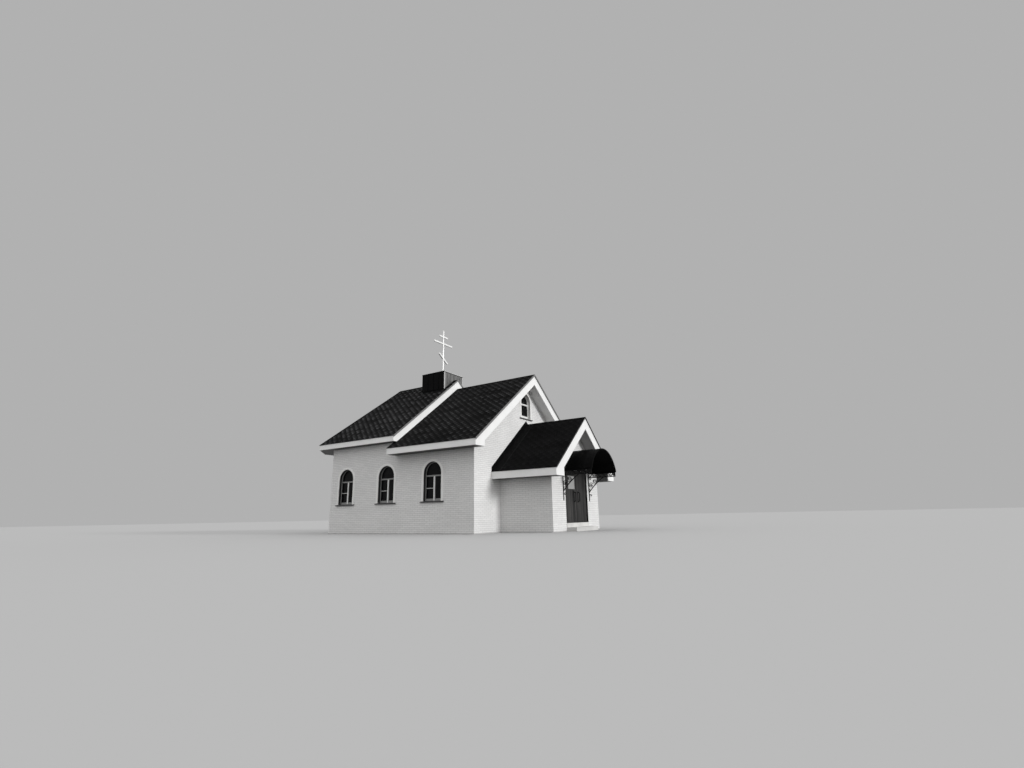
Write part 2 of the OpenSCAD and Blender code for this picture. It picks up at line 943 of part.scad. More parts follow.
// A bracket is drawn in Y and Z, with the wall at Y = 0 and the canopy's edge at Z = 0.
// The brace runs from the wall bar's middle line to that of the band's lower bar.
brace_start = [-iron_w / 2, -brace_drop];
brace_run = [iron_w / 2 - brace_out, brace_drop - band_h + iron_w / 2];
function cornerwards(v) = [v[1], -v[0]] / norm(v);
function brace_way(t) = brace_run + 4 * brace_rise * (1 - 2 * t) * cornerwards(brace_run);
function brace_at(t, off) = brace_start + t * brace_run
    + 4 * brace_rise * t * (1 - t) * cornerwards(brace_run) + off * cornerwards(brace_way(t));

module brace() {
    polygon(concat([for (i = [0:brace_steps]) brace_at(i / brace_steps, iron_w / 2)],
        [for (i = [brace_steps:-1:0]) brace_at(i / brace_steps, -iron_w / 2)]));
}

// Frame of a scroll on the brace: +X runs up the brace, which lies on the +Y side
module on_brace(t, off) {
    way = brace_way(t);
    translate(brace_at(t, off)) rotate(atan2(way[1], way[0])) children();
}

module bracket_bars(reach) {
    translate([-iron_w, -leg_h]) square([iron_w, leg_h]);
    translate([-reach, -iron_w]) square([reach, iron_w]);
    translate([-reach, -band_h]) square([reach, iron_w]);
    translate([-reach, -band_h]) square([iron_w, band_h]);
    brace();
}

// A row of double scrolls in the band, a double one over the brace, a small one at its
// foot and two on the wall bar. Each is let into what it touches by the depth of its weld.
module bracket_scrolls(reach) {
    long = (reach - 2 * iron_w + (band_scrolls + 1) * weld) / band_scrolls;
    for (i = [0:band_scrolls - 1])
        translate([weld - iron_w - long / 2 - i * (long - weld), -band_h / 2])
            double_scroll((long + scroll_w) / (2 + 2 * shrink), 3);
    on_brace(double_at, iron_w / 2 + corner_r * sqrt(shrink) - weld) mirror([1, 0])
        double_scroll(corner_r, 4);
    on_brace(foot_curl_at, iron_w / 2 + curl_r - weld) rotate(90) scroll(curl_r, 1.5);
    for (drop = [band_h + leg_curl_r * sqrt(shrink) - weld, leg_curl_drop])
        translate([weld - iron_w - leg_curl_r, -drop]) scroll(leg_curl_r, 2);
}

module bracket() {
    translate([bracket_x - iron_t / 2, -porch_len, can_z - can_bar])
        along_x(0, iron_t) {
            bracket_bars(can_out - can_bar);
            bracket_scrolls(can_out - can_bar);
        }
}

module left_bracket() {
    placed() color(iron) mirrored() bracket();
}

module right_bracket() {
    placed() color(iron) bracket();
}

// Ridge box and cross

// Box cut to sit astride the ridge
module ridge_box() {
    foot = raised_top(box_half) + seat_gap;
    placed() color(sheet_metal) along_y(box_y - box_half, box_y + box_half) polygon([
        [-box_half, foot], [0, raised_ridge_z + seat_gap], [box_half, foot],
        [box_half, box_top], [-box_half, box_top]]);
}

module ridge_box_cap() {
    half = box_half + cap_out;
    placed() color(sheet_metal) translate([0, box_y, box_top]) {
        translate([-half, -half, 0]) cube([2 * half, 2 * half, cap_t]);
        translate([0, 0, cap_t]) linear_extrude(height = cap_rise, scale = cap_tip)
            square(2 * half, center = true);
    }
}

module arm(z, half, tilt) {
    translate([0, 0, z]) rotate([0, 90 + tilt, 0]) cylinder(h = 2 * half, d = arm_d, center = true);
}

module cross() {
    placed() color(white) translate([0, box_y, 0]) {
        translate([0, 0, cross_foot]) cylinder(h = cross_h, d = cross_d);
        arm(arm_z + small_up, small_half, 0);
        arm(arm_z, arm_half, 0);
        arm(arm_z - slant_down, slant_half, slant_deg);
    }
}

nave_floor();
left_front_wall();
right_front_wall();
left_raised_wall();
right_raised_wall();
apse_wall();
front_wall_left();
front_wall_right();
front_gable();
raised_gable();
porch_floor();
porch_left_wall();
porch_right_wall();
porch_front_left();
porch_front_right();
porch_gable();
front_roof_left();
front_roof_right();
raised_roof_left();
raised_roof_right();
apse_roof();
porch_roof_left();
porch_roof_right();
porch_flashing();
bargeboards();
eave_boards();
eave_soffits();
window_frames();
window_panes();
window_surrounds();
window_sills();
door_frame();
threshold();
entrance_step();
left_door();
right_door();
left_fittings();
right_fittings();
door_hinges();
porch_lamp();
canopy_shell();
canopy_frame();
left_bracket();
right_bracket();
ridge_box();
ridge_box_cap();
cross();
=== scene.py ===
"""Looks of a small brick chapel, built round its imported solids.

Metres, +Z up, in the frame of the solids: the porch faces -Y and the ground is at Z = 0.
"""

import json
import math
import random

import bmesh
import bpy
from bpy.props import FloatProperty, FloatVectorProperty, IntProperty, PointerProperty
from bpy.types import NodeSocket, Operator, Panel, PropertyGroup
from mathutils import Matrix, Quaternion, Vector


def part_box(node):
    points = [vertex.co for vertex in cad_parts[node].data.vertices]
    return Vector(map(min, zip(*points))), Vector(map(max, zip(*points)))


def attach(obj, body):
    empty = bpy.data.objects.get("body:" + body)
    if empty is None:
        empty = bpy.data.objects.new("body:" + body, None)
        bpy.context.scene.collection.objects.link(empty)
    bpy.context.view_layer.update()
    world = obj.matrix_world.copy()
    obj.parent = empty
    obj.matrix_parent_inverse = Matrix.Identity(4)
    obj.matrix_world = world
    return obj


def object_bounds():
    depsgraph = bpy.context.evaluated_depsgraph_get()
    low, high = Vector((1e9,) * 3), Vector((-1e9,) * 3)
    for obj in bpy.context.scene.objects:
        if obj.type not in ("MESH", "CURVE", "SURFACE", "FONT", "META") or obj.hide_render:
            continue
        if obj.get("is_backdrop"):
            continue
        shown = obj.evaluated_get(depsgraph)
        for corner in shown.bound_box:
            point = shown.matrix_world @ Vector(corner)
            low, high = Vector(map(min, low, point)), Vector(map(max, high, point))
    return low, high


bl_info = {
    "name": "Small Chapel Looks",
    "version": (1, 0, 0),
    "blender": (4, 5, 0),
    "location": "View3D > Sidebar > Chapel",
    "description": "Bricks, shingles, boards, window bars, planks and finishes for a small chapel",
    "category": "Object",
}

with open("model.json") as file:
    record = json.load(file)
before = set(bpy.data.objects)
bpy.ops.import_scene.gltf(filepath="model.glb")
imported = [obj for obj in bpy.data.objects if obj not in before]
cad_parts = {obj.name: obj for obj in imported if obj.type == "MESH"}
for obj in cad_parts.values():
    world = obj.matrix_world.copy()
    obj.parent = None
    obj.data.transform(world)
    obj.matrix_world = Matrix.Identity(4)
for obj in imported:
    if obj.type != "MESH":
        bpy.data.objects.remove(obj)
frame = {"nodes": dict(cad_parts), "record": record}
cad_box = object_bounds()


def low(node):
    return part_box(node)[0]


def high(node):
    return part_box(node)[1]


SIDES = (("left", -1), ("right", 1))

# How far a piece reaches into what carries it, and the gap between neighbours
SINK = 0.001
GAP = 0.001

# Sizes that the solids have too: roofs and apse
BOARD = 0.030
ROOF_T = 0.170
APSE_LEG = 1.050
APSE_OUT = 0.650
PEAK_BACK = 0.280

# Side windows, gable window and the raised surrounds
WIN_W = 0.920
WIN_SILL = 1.233
WIN_SPRING = 2.310
WIN_FRAME = 0.024
REVEAL = 0.110
FRAME_D = 0.070
TRIM_W = 0.095
ATTIC_W = 0.760
ATTIC_SILL = 4.815
ATTIC_SPRING = 5.560

# Doors: corner of the notice, middle of a pull, hinges
NOTICE_X = -0.655
NOTICE_Z = 1.620
PULL_X = 0.178
PULL_Z = 1.319
HINGE_PIN = 0.009
HINGE_HALF = 0.060
HINGE_PLATE = 0.004

# Canopy, and where the brackets' scrolls touch each other, out from the wall
CANOPY_T = 0.012
CANOPY_BAR = 0.030
BRACKET_BAR = 0.034
BAND_MIDDLE = 0.090
BAND_JOINTS = (0.267, 0.504, 0.741, 0.979)

# Cross: radius of its arms, then each arm's height, half length and tilt in degrees
CROSS_ARM = 0.030
CROSS_ARMS = ((9.720, 0.316, 0), (9.344, 0.700, 0), (8.549, 0.385, 35))

# Outer faces of the walls, and the middles of the side windows
WALL_X = high("right_front_wall").x
FRONT_Y = low("front_wall_left").y
STEP_Y = high("left_front_wall").y
APSE_Y = high("apse_wall").y
CORNER_Y = APSE_Y - APSE_LEG
CORNER_X = WALL_X - APSE_LEG
PORCH_X = high("porch_right_wall").x
PORCH_Y = low("porch_gable").y
WINDOWS_Y = (FRONT_Y + 2.051, STEP_Y + 0.544, CORNER_Y - 1.003)


class Gable:
    """A roof with two slopes: half width out to its boards, ridge, slope and ends."""

    def __init__(self, node, fascia):
        self.half = high(node).x + BOARD
        self.ridge = high(node).z
        self.slope = (self.ridge - ROOF_T - low(node).z) / high(node).x
        self.start = low(node).y - BOARD
        self.end = high(node).y
        self.eave = self.ridge - self.slope * self.half
        self.box = self.eave - fascia

    def top(self, x):
        return self.ridge - self.slope * abs(x)


# Each roof with the depth of its eave boards
FRONT = Gable("front_roof_right", 0.256)
RAISED = Gable("raised_roof_right", 0.234)
PORCH = Gable("porch_roof_right", 0.290)

# Eave corners round the apse, on the right side
PEAK = Vector((0, CORNER_Y - PEAK_BACK, RAISED.ridge))
REAR_Y = APSE_Y + APSE_OUT
TURN_Y = CORNER_Y - (RAISED.half - WALL_X) + APSE_OUT * math.sqrt(2)
TURN_X = RAISED.half - (REAR_Y - TURN_Y)


def colour(name, value, description):
    grey = value if isinstance(value, tuple) else (value, value, value)
    return FloatVectorProperty(
        name=name, description=description, default=grey, size=3, min=0, max=1, subtype="COLOR"
    )


def length(name, value, description):
    return FloatProperty(
        name=name, description=description, default=value, min=0.0005, max=3.0,
        unit="LENGTH", subtype="DISTANCE", precision=4,
    )


def share(name, value, description, most=1.0):
    return FloatProperty(
        name=name, description=description, default=value, min=0, max=most, subtype="FACTOR"
    )


class ChapelColours(PropertyGroup):
    """Base colours of the finishes"""

    brick: colour("Brick", (0.79, 0.787, 0.78), "Pale facing brick")
    mortar: colour("Mortar", (0.55, 0.547, 0.54), "Joints between the bricks")
    plaster: colour("Plaster", (0.82, 0.815, 0.80), "Walls inside and in the reveals")
    board: colour("Board", (0.87, 0.87, 0.863), "White gable and eave boards")
    lining: colour("Lining", (0.86, 0.86, 0.85), "Ribbed linings under the nave's gables")
    # Painted shade: the porch gable's lining is the same ribbed lining as the nave's, made darker
    porch_lining: colour("Porch lining", (0.42, 0.42, 0.415), "Ribbed lining in the porch's gable")
    # Painted shade: the level eaves' lining is the same ribbed lining as the white one, made near
    # black for the shade under the eaves
    soffit: colour("Soffit", (0.085, 0.085, 0.084), "Ribbed linings under the level eaves")
    verge: colour("Verge", (0.20, 0.20, 0.198), "Metal strips on the nave's gable boards")
    porch_verge: colour("Porch verge", (0.06, 0.06, 0.059), "Metal strips on the porch's boards")
    apron_edge: colour("Apron edge", (0.010, 0.010, 0.0102), "Strip along the apron's lower edge")
    apron: colour("Apron", (0.0060, 0.0060, 0.0062), "Sheets where the porch roof meets the wall")
    shingle: colour("Shingle", (0.0130, 0.0130, 0.0134), "Bitumen shingles")
    roof_edge: colour("Roof edge", (0.008, 0.008, 0.0083), "Metal strips at the roof's edges")
    sheet: colour("Sheet", (0.004, 0.004, 0.0042), "Dark sheets on the ridge box and the flashings")
    # Painted light: the ridge box's ends are the same sheet as its dark sides, made pale to stand
    # for sun and sky on them
    pale_sheet: colour("Pale sheet", (0.165, 0.165, 0.163), "Sheets on the ridge box's ends")
    # Painted highlight: pale only on the ridge box's front corner strips and front cap edge; the
    # same strips at the rear are dark sheet
    strip: colour("Strip", (0.62, 0.62, 0.615), "Pale corner strips and cap edge of the ridge box")
    sill: colour("Sill", (0.05, 0.05, 0.052), "Window sills")
    reveal: colour("Reveal", (0.035, 0.035, 0.036), "Dark linings of the window reveals")
    window: colour("Window", (0.80, 0.80, 0.79), "Mullions, glazing bars and the gable window")
    # Painted shade: the side windows' frames and casements are made grey for the shade they lie in;
    # the gable window's frame is white
    casement: colour("Casement", (0.26, 0.26, 0.257), "Frames and casements of the side windows")
    surround: colour("Surround", (0.84, 0.835, 0.82), "Smooth surrounds of the windows")
    glass: colour("Glass", (0.006, 0.006, 0.0065), "Window glass")
    door: colour("Door", (0.0210, 0.0203, 0.0198), "Stained door planks")
    core: colour("Core", (0.008, 0.008, 0.008), "Door leaves between the planks")
    iron: colour("Iron", (0.004, 0.004, 0.0042), "Black paint on iron")
    canopy: colour("Canopy", (0.0022, 0.0022, 0.0023), "Canopy sheet")
    lamp: colour("Lamp", (0.70, 0.70, 0.69), "Glass of the lamp over the doors")
    cross: colour("Cross", (0.92, 0.92, 0.91), "Tube of the cross")
    concrete: colour("Concrete", (0.60, 0.595, 0.58), "Floors, step and threshold")
    notice: colour("Notice", (0.34, 0.34, 0.335), "Blank sheet on the left door")


class ChapelBricks(PropertyGroup):
    """Sizes of the brickwork"""

    length: length("Length", 0.250, "Length of a brick")
    height: length("Height", 0.065, "Height of a brick")
    joint: length("Joint", 0.010, "Width of the joints")
    relief: length("Relief", 0.004, "How far the bricks stand out of the joints")
    base: length("Base", 0.033, "Height of the first course")
    edge: share("Edge", 0.985, "Size of a brick's face against its base")
    seed: IntProperty(name="Seed", description="Seed of the bricks' tones", default=7)


class ChapelShingles(PropertyGroup):
    """Sizes of the six-sided shingles"""

    pitch: length("Pitch", 1 / 3, "Distance between tabs along the eave")
    row: length("Row", 0.145, "Distance between rows up the slope")
    flat: length("Flat", 0.100, "Length of a tab's lower edge")
    gap: length("Gap", 0.004, "Gap between tabs")
    thick: length("Thickness", 0.003, "Thickness of a tab")
    lift: length("Lift", 0.005, "How far a tab's lower edge lies over the next row")
    cover: length("Cover", 0.008, "Thickness of the layer below the tabs")
    past: length("Past", 0.025, "How far the roofing runs past the boards")
    cap: length("Cap", 0.120, "Width of the ridge caps on each slope")
    seed: IntProperty(name="Seed", description="Seed of the tabs' tones", default=11)


class ChapelBoards(PropertyGroup):
    """Sizes of the boards and linings"""

    front_deep: length("Front lining", 0.390, "Depth of the front gable's lining below the roof")
    raised_deep: length("Raised lining", 0.200, "Depth of the raised gable's lining")
    porch_deep: length("Porch lining", 0.380, "Depth of the porch gable's lining")
    rib: length("Rib", 0.100, "Width of a lining's ribs")
    groove: length("Groove", 0.008, "Grooves between ribs or boards")
    sheet: length("Sheet", 0.010, "Thickness of a lining")
    relief: length("Relief", 0.004, "Height of the ribs")
    verge_up: length("Verge up", 0.026, "How far the metal strips stand over the roofing")
    verge_down: length("Verge down", 0.060, "How far the metal strips hang over the boards")
    verge_flange: length("Verge flange", 0.016, "How far the metal strips reach over the roofing")
    panel: length("Panel", 2.0, "Length of the main eaves' boards")
    porch_panel: length("Porch panel", 0.300, "Length of the porch eaves' boards")


class ChapelWindows(PropertyGroup):
    """Sizes of the window bars"""

    mullion: length("Mullion", 0.062, "Width of the bar between the casements")
    meeting: length("Meeting stile", 0.018, "Width of a casement's bar beside the mullion")
    stile: length("Stile", 0.009, "Width of a casement's bar beside the frame")
    rail: length("Rail", 0.075, "Height of a casement's lowest bar")
    transom: length("Transom", 0.046, "Height of the bar under the arched light")
    transom_drop: length("Transom drop", 0.085, "Depth of that bar below the arch's springing")
    attic_rail: length("Gable window rail", 0.060, "Height of the bar in the gable window")
    attic_foot: length("Gable window foot", 0.115, "Height of the gable window's lowest bar")
    bar: length("Glazing bar", 0.018, "Height of the bar across one casement")
    bar_up: share("Bar height", 0.50, "Place of the glazing bar, up the casement")
    proud: length("Proud", 0.010, "How far the mullion stands before the casements")
    sleeve: length("Sleeve", 0.003, "Thickness of the reveals' linings")


class ChapelDoors(PropertyGroup):
    """Sizes of the door planks and the blank notice"""

    planks: IntProperty(name="Planks", description="Planks in each leaf", default=9, min=3, max=20)
    relief: length("Relief", 0.003, "How far the planks stand out of the leaf")
    groove: length("Groove", 0.006, "Grooves between the planks")
    notice_w: length("Notice width", 0.550, "Width of the blank notice")
    notice_h: length("Notice height", 0.510, "Height of the blank notice")
    seed: IntProperty(name="Seed", description="Seed of the planks' tones", default=5)


class ChapelMetal(PropertyGroup):
    """Sizes of sheets, seams, bolts and collars"""

    seam: length("Seam", 0.010, "Height of the seams between sheets")
    seams: IntProperty(name="Seams", description="Seams on the canopy", default=2, min=0, max=8)
    bead: length("Bead", 0.011, "Radius of the rolled edge at the canopy's front")
    rivet: length("Rivet", 0.006, "Radius of the rivets along the canopy's front bar")
    bolt: length("Bolt", 0.010, "Radius of the bolt heads")
    screw: length("Screw", 0.004, "Radius of the screw heads")
    collar: length("Collar", 0.030, "Height of the collars round touching scrolls")
    plate_w: length("Plate width", 0.056, "Width of the plates under the pull handles")
    plate_h: length("Plate height", 0.460, "Height of the plates under the pull handles")
    strip: length("Strip", 0.055, "Width of the ridge box's corner strips")
    skirt: length("Skirt", 0.120, "Width of the flashing round the ridge box")
    cladding: length("Cladding", 0.018, "Thickness of the ridge box's cladding")
    apron: length("Apron", 0.400, "Width of the sheets where the porch roof meets the wall")
    sleeve_t: length("Sleeve height", 0.080, "Height of the sleeves on the cross's arms")
    sleeve_d: length("Sleeve depth", 0.066, "Depth of the sleeves on the cross's arms")
    seed: IntProperty(name="Seed", description="Seed of the sheets' tones", default=3)


class ChapelStage(PropertyGroup):
    """Floor, background and light"""

    floor: colour("Floor", 0.44, "Pale floor as it is seen")
    bounce: colour("Bounce", 0.15, "Floor as it lights the chapel")
    backdrop: colour("Backdrop", 0.44, "Pale background")
    horizon: share("Horizon", 0.82, "Soft light from the sides", most=5.0)
    zenith: share("Zenith", 1.08, "Soft light from above", most=5.0)
    key: share("Key", 1.75, "Strength of the key light", most=10.0)


class ChapelSettings(PropertyGroup):
    """All sizes and colours of the chapel's looks"""

    colours: PointerProperty(name="Colours", description="Base colours", type=ChapelColours)
    bricks: PointerProperty(name="Bricks", description="Brickwork", type=ChapelBricks)
    shingles: PointerProperty(name="Shingles", description="Roofing", type=ChapelShingles)
    boards: PointerProperty(name="Boards", description="Boards and linings", type=ChapelBoards)
    windows: PointerProperty(name="Windows", description="Window bars", type=ChapelWindows)
    doors: PointerProperty(name="Doors", description="Door planks", type=ChapelDoors)
    metal: PointerProperty(name="Metal", description="Seams and bolts", type=ChapelMetal)
    stage: PointerProperty(name="Stage", description="Floor and light", type=ChapelStage)


def settings():
    return bpy.context.scene.chapel


def rectangle(u0, v0, u1, v1):
    return [(u0, v0), (u1, v0), (u1, v1), (u0, v1)]


def around(n, start=0):
    """Faces between two rings of n points each, the first of them from start."""
    steps = [(start + i, start + (i + 1) % n) for i in range(n)]
    return [[a, b, n + b, n + a] for a, b in steps]


class Draft:
    """Points and faces of a piece, with a tone, a shade and a lift for each point."""

    def __init__(self):
        self.points, self.faces, self.tones, self.shades, self.lifts = [], [], [], [], []

    def add(self, points, faces, tone=0.5, shades=None, lifts=None):
        start = len(self.points)
        self.points += [Vector(p) for p in points]
        self.faces += [[start + i for i in f] for f in faces]
        self.tones += [tone] * len(points)
        self.shades += shades or [0.5] * len(points)
        self.lifts += lifts or [0.0] * len(points)

    def face(self, points, **values):
        self.add(points, [range(len(points))], **values)

    def prism(self, outline, along):
        """Closed prism from an outline and the vector that it is swept by."""
        n = len(outline)
        points = [Vector(p) for p in outline]
        points += [p + Vector(along) for p in points]
        self.add(points, [range(n)[::-1], range(n, 2 * n), *around(n)])

    def band(self, outer, inner, along):
        """Closed band between two lines of equally many points, swept by a vector."""
        n = len(outer)
        points = [Vector(p) for p in (*outer, *inner)]
        points += [p + Vector(along) for p in points]
        faces = [[0, n, 3 * n, 2 * n], [n - 1, 3 * n - 1, 4 * n - 1, 2 * n - 1]]
        for i in range(n - 1):
            for a, b in ((0, n), (2 * n, 3 * n), (0, 2 * n), (n, 3 * n)):
                faces.append([a + i, a + i + 1, b + i + 1, b + i])
        self.add(points, faces)

    def rings(self, rings, sides):
        """Closed round shape through rings: each a centre, a radius and two directions."""
        points, faces = [], []
        for centre, radius, side, other in rings:
            for k in range(sides):
                turn = 2 * math.pi * k / sides
                points.append(centre + (side * math.cos(turn) + other * math.sin(turn)) * radius)
        for i in range(len(rings) - 1):
            faces += around(sides, i * sides)
        self.add(points, [*faces, range(sides), range(len(points) - sides, len(points))])

    def tube(self, path, radius, across, sides=8):
        """Round bar along an open path that lies at right angles to across."""
        path, rings = [Vector(p) for p in path], []
        for i, p in enumerate(path):
            way = path[min(i + 1, len(path) - 1)] - path[max(i - 1, 0)]
            rings.append((p, radius, way.cross(across).normalized(), across))
        self.rings(rings, sides)

    def turned(self, profile, centre=(0, 0, 0), axis=(0, -1, 0), sides=10):
        """Closed round shape from radii and heights along an axis."""
        axis, centre = Vector(axis).normalized(), Vector(centre)
        side = axis.orthogonal().normalized()
        other = axis.cross(side)
        self.rings([(centre + axis * rise, radius, side, other) for radius, rise in profile], sides)

    def box(self, a, b):
        outline = [(x, y, a[2]) for x, y in rectangle(*a[:2], *b[:2])]
        self.prism(outline, (0, 0, b[2] - a[2]))

    def moved(self, matrix):
        self.points = [matrix @ p for p in self.points]
        return self

    def mesh(self, name, closed=False, bevel=0.0, smooth=False):
        """Plain mesh of the draft; a closed one has its faces turned outwards."""
        sharp, soft = 0.5, math.radians(35)
        made = bpy.data.meshes.new(name)
        made.from_pydata(self.points, [], self.faces)
        for label, values in (("tone", self.tones), ("shade", self.shades), ("lift", self.lifts)):
            made.attributes.new(label, "FLOAT", "POINT").data.foreach_set("value", values)
        if closed:
            bm = bmesh.new()
            bm.from_mesh(made)
            bmesh.ops.recalc_face_normals(bm, faces=bm.faces)
            if bevel:
                edges = [e for e in bm.edges if e.calc_face_angle(0) > sharp]
                bmesh.ops.bevel(bm, geom=edges, offset=bevel, segments=1, affect="EDGES")
            bm.to_mesh(made)
            bm.free()
        if smooth:
            made.shade_smooth()
            made.set_sharp_from_angle(angle=soft)
        return made


def as_piece(name, mesh, paint, body):
    """Shows a mesh as a piece that has a finish and rides on a body."""
    piece = bpy.data.objects.new(name, mesh)
    bpy.context.scene.collection.objects.link(piece)
    mesh.materials.clear()
    mesh.materials.append(finish(paint))
    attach(piece, body)


def solid_piece(name, draft, paint, body="chapel", bevel=0.0, smooth=False):
    as_piece(name, draft.mesh(name, True, bevel, smooth), paint, body)


def baked(name, source, tree, values, paint, body):
    """Runs a tree on a source mesh and keeps the result as a plain piece."""
    carrier = bpy.data.objects.new(name + "_draft", source)
    bpy.context.scene.collection.objects.link(carrier)
    modifier = carrier.modifiers.new("tree", "NODES")
    modifier.node_group = tree
    values = dict(values, Material=finish(paint))
    for item in tree.interface.items_tree:
        if item.in_out == "INPUT" and item.name in values:
            modifier[item.identifier] = values[item.name]
    graph = bpy.context.evaluated_depsgraph_get()
    graph.update()
    mesh = bpy.data.meshes.new_from_object(carrier.evaluated_get(graph))
    carrier.modifiers.remove(modifier)
    bpy.data.objects.remove(carrier)
    bpy.data.meshes.remove(source)
    mesh.name = name
    as_piece(name, mesh, paint, body)


class Sheet:
    """A flat surface: origin, axis along it, axis up it, and the normal out of it."""

    def __init__(self, start, end, up):
        self.o = Vector(start)
        self.u = (Vector(end) - self.o).normalized()
        rise = Vector(up) - self.o
        self.v = (rise - self.u * rise.dot(self.u)).normalized()
        self.n = self.u.cross(self.v)

    def at(self, u, v, h=0.0):
        return self.o + self.u * u + self.v * v + self.n * h

    def sunk(self, outline):
        """The places of a flat outline, just inside what carries it."""
        return [self.at(*p, -SINK) for p in outline]

    def flat(self, point):
        d = Vector(point) - self.o
        return (d.dot(self.u), d.dot(self.v))


def upright(start, end):
    """Sheet that stands on the ground line from start to end."""
    return Sheet((*start, 0), (*end, 0), (*start, 1))


def side_run(side, x, front, rear):
    """Ends of a run along the left or right side, in order as seen from outside."""
    ends = [(side * x, rear), (side * x, front)]
    return ends if side < 0 else ends[::-1]


def arc(z, radius, start=0.0, steps=24):
    """Points of an arch round (0, z) in a flat plane, from the right to the left."""
    turns = [start + (math.pi - 2 * start) * i / steps for i in range(steps + 1)]
    return [(radius * math.cos(t), z + radius * math.sin(t)) for t in turns]


def bolt_head(radius):
    """Draft of a round head of a bolt, rivet or screw that stands out towards -Y."""
    draft = Draft()
    profile = [(radius, -SINK), (radius * 0.92, radius * 0.4), (radius * 0.45, radius * 0.65)]
    draft.turned(profile, sides=8)
    return draft


def clip(polygon, a, b, c):
    """The part of a flat polygon where a*u + b*v <= c."""
    kept = []
    for i, p in enumerate(polygon):
        q = polygon[(i + 1) % len(polygon)]
        dp, dq = a * p[0] + b * p[1] - c, a * q[0] + b * q[1] - c
        if dp <= 0:
            kept.append(p)
        if (dp < 0 < dq) or (dq < 0 < dp):
            t = dp / (dp - dq)
            kept.append((p[0] + (q[0] - p[0]) * t, p[1] + (q[1] - p[1]) * t))
    return kept


def clipped(polygon, lines):
    """The part of a flat polygon inside all lines, or nothing if too little is left."""
    least_area, least_edge = 4e-4, 6e-4
    for line in lines:
        polygon = clip(polygon, *line)
        if len(polygon) < 3:
            return []
    pairs = zip(polygon, polygon[1:] + polygon[:1])
    if sum(p[0] * q[1] - q[0] * p[1] for p, q in pairs) / 2 <= least_area:
        return []
    kept = [p for i, p in enumerate(polygon) if math.dist(p, polygon[i - 1]) > least_edge]
    return kept if len(kept) > 2 else []


def edge_lines(region):
    """Outward lines a*u + b*v <= c of an anticlockwise flat polygon."""
    lines = []
    for p, q in zip(region, region[1:] + region[:1]):
        a, b = q[1] - p[1], p[0] - q[0]
        size = math.hypot(a, b)
        a, b = a / size, b / size
        lines.append((a, b, a * p[0] + b * p[1]))
    return lines


def grown(region, amounts):
    """The polygon with each edge moved outwards by its own amount."""
    lines = [(a, b, c + d) for (a, b, c), d in zip(edge_lines(region), amounts)]
    corners = []
    for i, (a2, b2, c2) in enumerate(lines):
        a1, b1, c1 = lines[i - 1]
        det = a1 * b2 - a2 * b1
        corners.append(((c1 * b2 - c2 * b1) / det, (a1 * c2 - a2 * c1) / det))
    return corners


class Nodes:
    """A node tree in the making. An input is given as a value or as the socket that feeds it."""

    def __init__(self, tree):
        self.tree = tree

    def add(self, kind, inputs=(), **props):
        node = self.tree.nodes.new(kind)
        for key, value in props.items():
            setattr(node, key, value)
        return self.fill(node, inputs)

    def fill(self, node, inputs):
        for key, value in dict(inputs).items():
            if isinstance(value, NodeSocket):
                self.tree.links.new(value, node.inputs[key])
            else:
                node.inputs[key].default_value = value
        return node

    def math(self, operation, a, b=0.0):
        return self.add("ShaderNodeMath", {0: a, 1: b}, operation=operation).outputs[0]

    def spread(self, source, least, most, start=0.3, end=0.7):
        """The source's range from start to end, laid over the one from least to most."""
        inputs = {
            "Value": source, "From Min": start, "From Max": end, "To Min": least, "To Max": most
        }
        return self.add("ShaderNodeMapRange", inputs).outputs[0]

    def mix(self, a, b, part):
        a, b = (x if isinstance(x, NodeSocket) else (*x, 1.0) for x in (a, b))
        inputs = {0: part, 6: a, 7: b}
        return self.add("ShaderNodeMix", inputs, data_type="RGBA").outputs[2]


class ShapeTree(Nodes):
    """A geometry node tree with named inputs, which ends in real, painted faces."""

    def __init__(self, name, **inputs):
        super().__init__(bpy.data.node_groups.new(name, "GeometryNodeTree"))
        face = self.tree.interface
        for label, kind in (("Geometry", "Geometry"), *inputs.items(), ("Material", "Material")):
            face.new_socket(label, in_out="INPUT", socket_type="NodeSocket" + kind)
        face.new_socket("Geometry", in_out="OUTPUT", socket_type="NodeSocketGeometry")
        self.given = self.add("NodeGroupInput").outputs

    def close(self, geometry):
        real = self.add("GeometryNodeRealizeInstances", {0: geometry}).outputs[0]
        inputs = {"Geometry": real, "Material": self.given["Material"]}
        paint = self.add("GeometryNodeSetMaterial", inputs)
        self.add("NodeGroupOutput", {0: paint.outputs[0]})
        return self.tree


